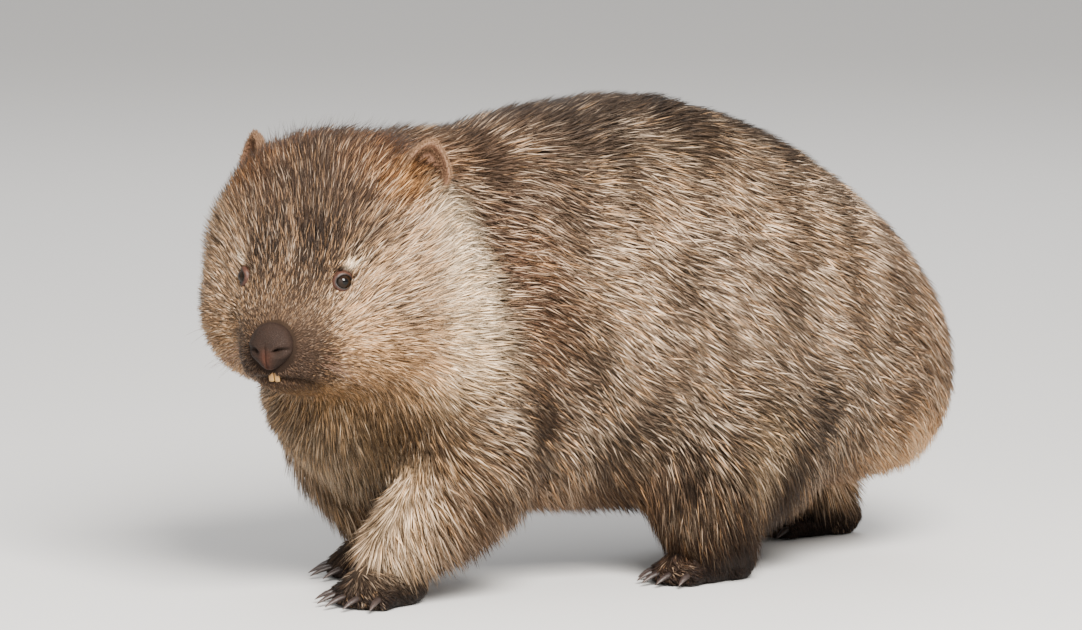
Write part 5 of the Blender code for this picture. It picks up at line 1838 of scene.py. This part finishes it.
# %% Model the ears
ear_look, shader, start = new_look("ear_skin", 0.7, Specular_IOR_Level=0.25)
tone = stored(start, "ear_tone")
down, veins = place_noise(start, 700.0), place_noise(start, 90.0)
shade = (0.6 * down + 0.4 * veins).between(0.35, 0.65)
wire(shader, Base_Color=shade.blend(tone.darkened(0.72, 0.66, 0.64), tone))
wire(shader, Roughness=0.6 + 0.3 * down, Normal=bumped(start, down, 0.0005))
ears = {}
for sign, side in SIDES:
    ear, ball = moulded("ear_shell_" + side, EAR_DETAIL, ear_surface, *ear_place(sign))
    off_rim = np.abs(np.hypot(ball[:, 0], ball[:, 2]) - 1.0)
    rim = np.clip(RIM_SHARE - off_rim * RIM_SHARPNESS, 0, 1)[:, None]
    base = np.where(ball[:, 1:2] < EAR_FRONT, EAR_INSIDE, EAR_OUTSIDE)
    store_colours(ear.data, "ear_tone", mixed(base, EAR_RIM_TONE, rim))
    ears[side] = ear
print("ears:", [len(ear.data.vertices) for ear in ears.values()], "corners")

# %% Fur on the ears
EAR_WISPS = 3600
EAR_LENGTH, EAR_WIDTH, EAR_FUR_RISE = 0.0055, 0.00070, 0.0017
# Each wisp's own length, rise, width and tone lie between these shares of the usual ones
EAR_LENGTHS, EAR_RISES, EAR_WIDTHS = (0.6, 1.25), (0.5, 1.3), (0.7, 1.3)
EAR_TONES, EAR_STRAY, EAR_STRAIGHT = (0.75, 1.2), 0.30, 0.75
EAR_UP, EAR_OUT = 0.9, 0.8
BOWL_DEPTH, BOWL_REACH, BOWL_CROWDING, EAR_FOOT = 0.001, 0.8, 0.80, -0.75
RIM_BRIGHTER, FUR_ROOT, FUR_TIP, FUR_LIGHTEST = 1.15, 0.55, 1.25, 0.95
HOLLOW_WIDTH, HOLLOW_AT, HOLLOW_HEIGHT = 0.010, -0.004, 0.013
HOLLOW_DEPTH, HOLLOW_SHARE = 0.004, 0.85


def ear_wisps(side, sign):
    """Short fur over an ear, thinner inside its bowl, with a shaded hollow at its opening."""
    mesh = ears[side].data
    turn, foot = ear_place(sign)

    def in_ear(points):
        """Points across, through and up the ear, and how deep they lie in front of its bend."""
        local = (points - foot) @ turn
        return local, local[:, 1] + EAR_BEND * local[:, 0] ** 2

    def crowd(middles):
        """Fewer roots in the bowl, and none where the ear is sunk in the head."""
        local, deep = in_ear(middles)
        wide, height = local[:, 0] / EAR_RADII[0], local[:, 2] / EAR_RADII[2]
        inner = (deep < BOWL_DEPTH) & (np.hypot(wide, height) < BOWL_REACH)
        return np.where(inner, BOWL_CROWDING, 1.0) * (height > EAR_FOOT)

    no_map = np.zeros((len(mesh.loops), 2), np.float32)
    places, normals, _ = scatter(mesh, no_map, crowd, EAR_WISPS)
    count, none = len(places), np.zeros(len(places))
    spoke = unit(places - points_of(mesh).mean(axis=0))
    way = unit(along_surface(unit(turn[:, 2] * EAR_UP + spoke * EAR_OUT), normals))
    way = rotated(way, normals, rng.normal(0.0, EAR_STRAY, count))
    length = EAR_LENGTH * rng.uniform(*EAR_LENGTHS, count)
    rise = EAR_FUR_RISE * rng.uniform(*EAR_RISES, count)
    straight = none + EAR_STRAIGHT
    rows = wisp_rows(tree_of(mesh), places, normals, way, length, rise, places, none, straight)
    blades = wisp_blades(rows, EAR_WIDTH * rng.uniform(*EAR_WIDTHS, count))

    local, deep = in_ear(places)
    near_rim = np.hypot(local[:, 0] / EAR_RADII[0], local[:, 2] / EAR_RADII[2]) * 2 - 1
    tone = mixed(EAR_OUTSIDE, EAR_RIM_TONE * RIM_BRIGHTER, np.clip(near_rim, 0, 1)[:, None])
    # Painted shade where the bowl goes down into the ear.
    hollow = hump(local[:, 0] / HOLLOW_WIDTH, (local[:, 2] - HOLLOW_AT) / HOLLOW_HEIGHT)
    hollow *= deep < HOLLOW_DEPTH
    tone = mixed(tone, EAR_HOLLOW_SHADE, (HOLLOW_SHARE * hollow)[:, None])
    tone = tone * rng.uniform(*EAR_TONES, count)[:, None]
    shades = np.stack([tone * FUR_ROOT] * 3 + [tone] * 3 + [tone * FUR_TIP], axis=1)
    on_map = np.stack([rng.random(count), rng.random(count)], axis=1)
    thin = rng.random(count) < THIN_SHARE
    shades = np.clip(shades, 0, FUR_LIGHTEST)
    return mesh_of_wisps("ear_fur_" + side, blades, shades, on_map, thin)


for sign, side in SIDES:
    settle(ear_wisps(side, sign), "ear", coat_look)
    settle(ears[side], "ear", ear_look, "ear_" + side)
print("ear fur:", EAR_WISPS, "wisps on each")

# %% [markdown]
# ## Claws
#
# Long, slightly curved claws do a wombat's digging. Horn is layered, so it shows fine streaks
# along its length and wears pale at the tip. Each claw is a row of shrinking rings along a curve
# that drops towards the ground.

# %% Shape of the claws
CLAW_RADIUS, CLAW_DROP = 0.0036, 0.0072
CLAW_SIDES, CLAW_STEPS = 14, 14
CLAW_OVER, CLAW_UNDER = 0.85, 0.62
# The claw's thickness at shares of its length
CLAW_SHARES, CLAW_SIZES = (0.0, 0.30, 0.62, 0.86, 1.0), (0.90, 1.0, 0.80, 0.45, 0.10)
HORN_ROOT, HORN_TIP = from_screen((0.120, 0.092, 0.086)), from_screen((0.230, 0.185, 0.170))
UP = Vector((0, 0, 1))


def claw_rings(root, along, length):
    """Shrinking rings along one claw, which drops towards its tip. Its back is the rounder side."""
    across = UP.cross(along).normalized()
    rings = []
    for step in range(CLAW_STEPS):
        share = step / (CLAW_STEPS - 1)
        centre = root + along * (length * share) - UP * (CLAW_DROP * share * share)
        size = CLAW_RADIUS * float(np.interp(share, CLAW_SHARES, CLAW_SIZES))
        ring = []
        for wide, high in ring_round(CLAW_SIDES):
            flat = CLAW_OVER if high > 0 else CLAW_UNDER
            ring.append(centre + across * size * wide + UP * (size * flat * high))
        rings.append(ring)
    return rings


print("a claw has", CLAW_STEPS, "rings")

# %% Model the claws
claw_look, shader, start = new_look("claw_horn", 0.4, Specular_IOR_Level=0.35)
tone = stored(start, "claw_tone")
grain = place_noise(start, 500.0, detail=4.0)
wire(shader, Base_Color=grain.between(0.35, 0.65).blend(tone.darkened(0.60, 0.58, 0.56), tone))
wire(shader, Roughness=0.30 + 0.35 * grain, Normal=bumped(start, grain, 0.0003))
ring_shares = np.repeat(np.arange(CLAW_STEPS) / (CLAW_STEPS - 1), CLAW_SIDES)
claw_shares = np.append(ring_shares, (0.0, 1.0))[:, None]
for name, claws in claw_roots.items():
    bm = bmesh.new()
    for claw in claws:
        skin_rings(bm, claw_rings(*claw))
    claw_set = object_from(bm, "claws_" + name)
    shares = np.tile(claw_shares, (len(claws), 1))
    store_colours(claw_set.data, "claw_tone", mixed(HORN_ROOT, HORN_TIP, shares**2))
    settle(claw_set, "claw", claw_look, *[name + "_claw_" + str(i) for i in range(1, 6)])
print("claws on", len(claw_roots), "feet")

# %% [markdown]
# ## Whiskers
#
# Whiskers are stiff tapered hairs rooted in the lip, on the cheek and over the eye. They are far
# too thin for the camera unless they are modelled, so each is a slim tube of four sides on a
# gentle curve.

# %% Shape of the whiskers
WHISKER_SIDES, WHISKER_STEPS = 4, 9
WHISKER_RADIUS, WHISKER_TAPER = 0.00022, 0.85
WHISKER_SINK, WHISKER_BEND, OUTWARD = 0.001, 0.20, 0.5
WHISKER_SETS = (
    # forward, left, up of the middle root, how many, spread, length, forward, left, up of its aim
    (0.076, 0.036, 0.228, 16, 0.011, 0.038, (-0.45, 0.90, -0.20)),
    (0.052, 0.052, 0.318, 4, 0.004, 0.022, (0.00, 0.60, 0.60)),
    (0.030, 0.085, 0.240, 4, 0.010, 0.028, (-0.50, 0.85, -0.20)),
)
# How far one whisker's root and aim stray from those of its set, and shares of its length
UP_SPREAD, STRAY_FORWARD, STRAY_UP, WHISKER_LENGTHS = 0.7, (-0.35, 0.25), (-0.30, 0.25), (0.55, 1.1)
draw = random.Random(11)


def whisker_rings(middle, spread, length, aim, sign):
    """Rings along one whisker of a set, on one side of the head."""
    forward = middle[0] + draw.uniform(-spread, spread)
    up = middle[2] + draw.uniform(-spread, spread) * UP_SPREAD
    start_at = head_point(forward, sign * middle[1], up)
    root, out, _, _ = skin_tree.find_nearest(Vector(start_at))
    forward, up = aim[0] + draw.uniform(*STRAY_FORWARD), aim[2] + draw.uniform(*STRAY_UP)
    way = Vector(head_turned(forward, np.float64(sign * aim[1]), up))
    way = (way.normalized() + out * OUTWARD).normalized()
    reach = length * draw.uniform(*WHISKER_LENGTHS)
    side = way.cross(UP).normalized()
    over = side.cross(way)
    rings = []
    for step in range(WHISKER_STEPS):
        share = step / (WHISKER_STEPS - 1)
        bend = UP * (WHISKER_BEND * reach * share * share)
        centre = root - out * WHISKER_SINK + way * reach * share - bend
        radius = WHISKER_RADIUS * (1.0 - WHISKER_TAPER * share)
        turns = ring_round(WHISKER_SIDES)
        rings.append([centre + (side * x + over * y) * radius for x, y in turns])
    return rings


print(len(WHISKER_SETS), "sets of whiskers")

# %% Model the whiskers
bm = bmesh.new()
count = 0
for *middle, number, spread, length, aim in WHISKER_SETS:
    for sign in (1, -1):
        for _ in range(number):
            skin_rings(bm, whisker_rings(middle, spread, length, aim, sign))
            count += 1
whisker_look, shader, start = new_look("whisker", 0.35, Specular_IOR_Level=0.5)
shade = place_noise(start, 200.0)
wire(shader, Base_Color=shade.blend(colour(0.20, 0.13, 0.10), colour(0.42, 0.30, 0.22)))
wire(shader, Roughness=0.30 + 0.2 * shade)
settle(object_from(bm, "whiskers"), "face_fur", whisker_look)
print(count, "whiskers")

# %% [markdown]
# ## Floor and light
#
# The animal was seen in soft daylight, so the light here is broad and gentle: a pale world for
# fill, one large warm light from above and in front, a weak one beside the camera, and a cool one
# from behind for the outline.

# %% Floor, world and lamps
FLOOR_REACH = 30
SQUARE = ((-1, -1), (1, -1), (1, 1), (-1, 1))
WORLD_TINT, WORLD_STRENGTH = (1.0, 0.975, 0.945, 1.0), 1.02
# Where it hangs, its size in metres, its power in watts and its tint
LAMPS = {
    "key": ((3.3, -0.9, 2.7), 1.8, 1040.0, (1.0, 0.95, 0.88)),
    "fill": ((2.6, -3.0, 1.4), 2.8, 80.0, (1.0, 0.97, 0.93)),
    "rim": ((-2.8, 1.8, 2.8), 2.0, 70.0, (0.97, 0.98, 1.0)),
}

floor_mesh = bpy.data.meshes.new("floor")
floor_corners = [(x * FLOOR_REACH, y * FLOOR_REACH, 0) for x, y in SQUARE]
floor_mesh.from_pydata(floor_corners, [], [(0, 1, 2, 3)])
floor = add_to_scene("floor", floor_mesh)
floor_look, shader, start = new_look("pale_floor", 0.8)
shader.inputs["Base Color"].default_value = colour(0.70, 0.70, 0.70)
floor_mesh.materials.append(floor_look)

world = bpy.data.worlds.new("soft_day")
world.use_nodes = True
background = world.node_tree.nodes["Background"]
background.inputs["Color"].default_value = WORLD_TINT
background.inputs["Strength"].default_value = WORLD_STRENGTH
bpy.context.scene.world = world

for name, (place, size, power, tint) in LAMPS.items():
    light = bpy.data.lights.new(name, "AREA")
    light.size, light.energy, light.color = size, power, tint
    lamp = add_to_scene(name, light)
    lamp.location = place
    lamp.rotation_euler = (TARGET - Vector(place)).to_track_quat("-Z", "Y").to_euler()
print(len(LAMPS), "lamps placed")
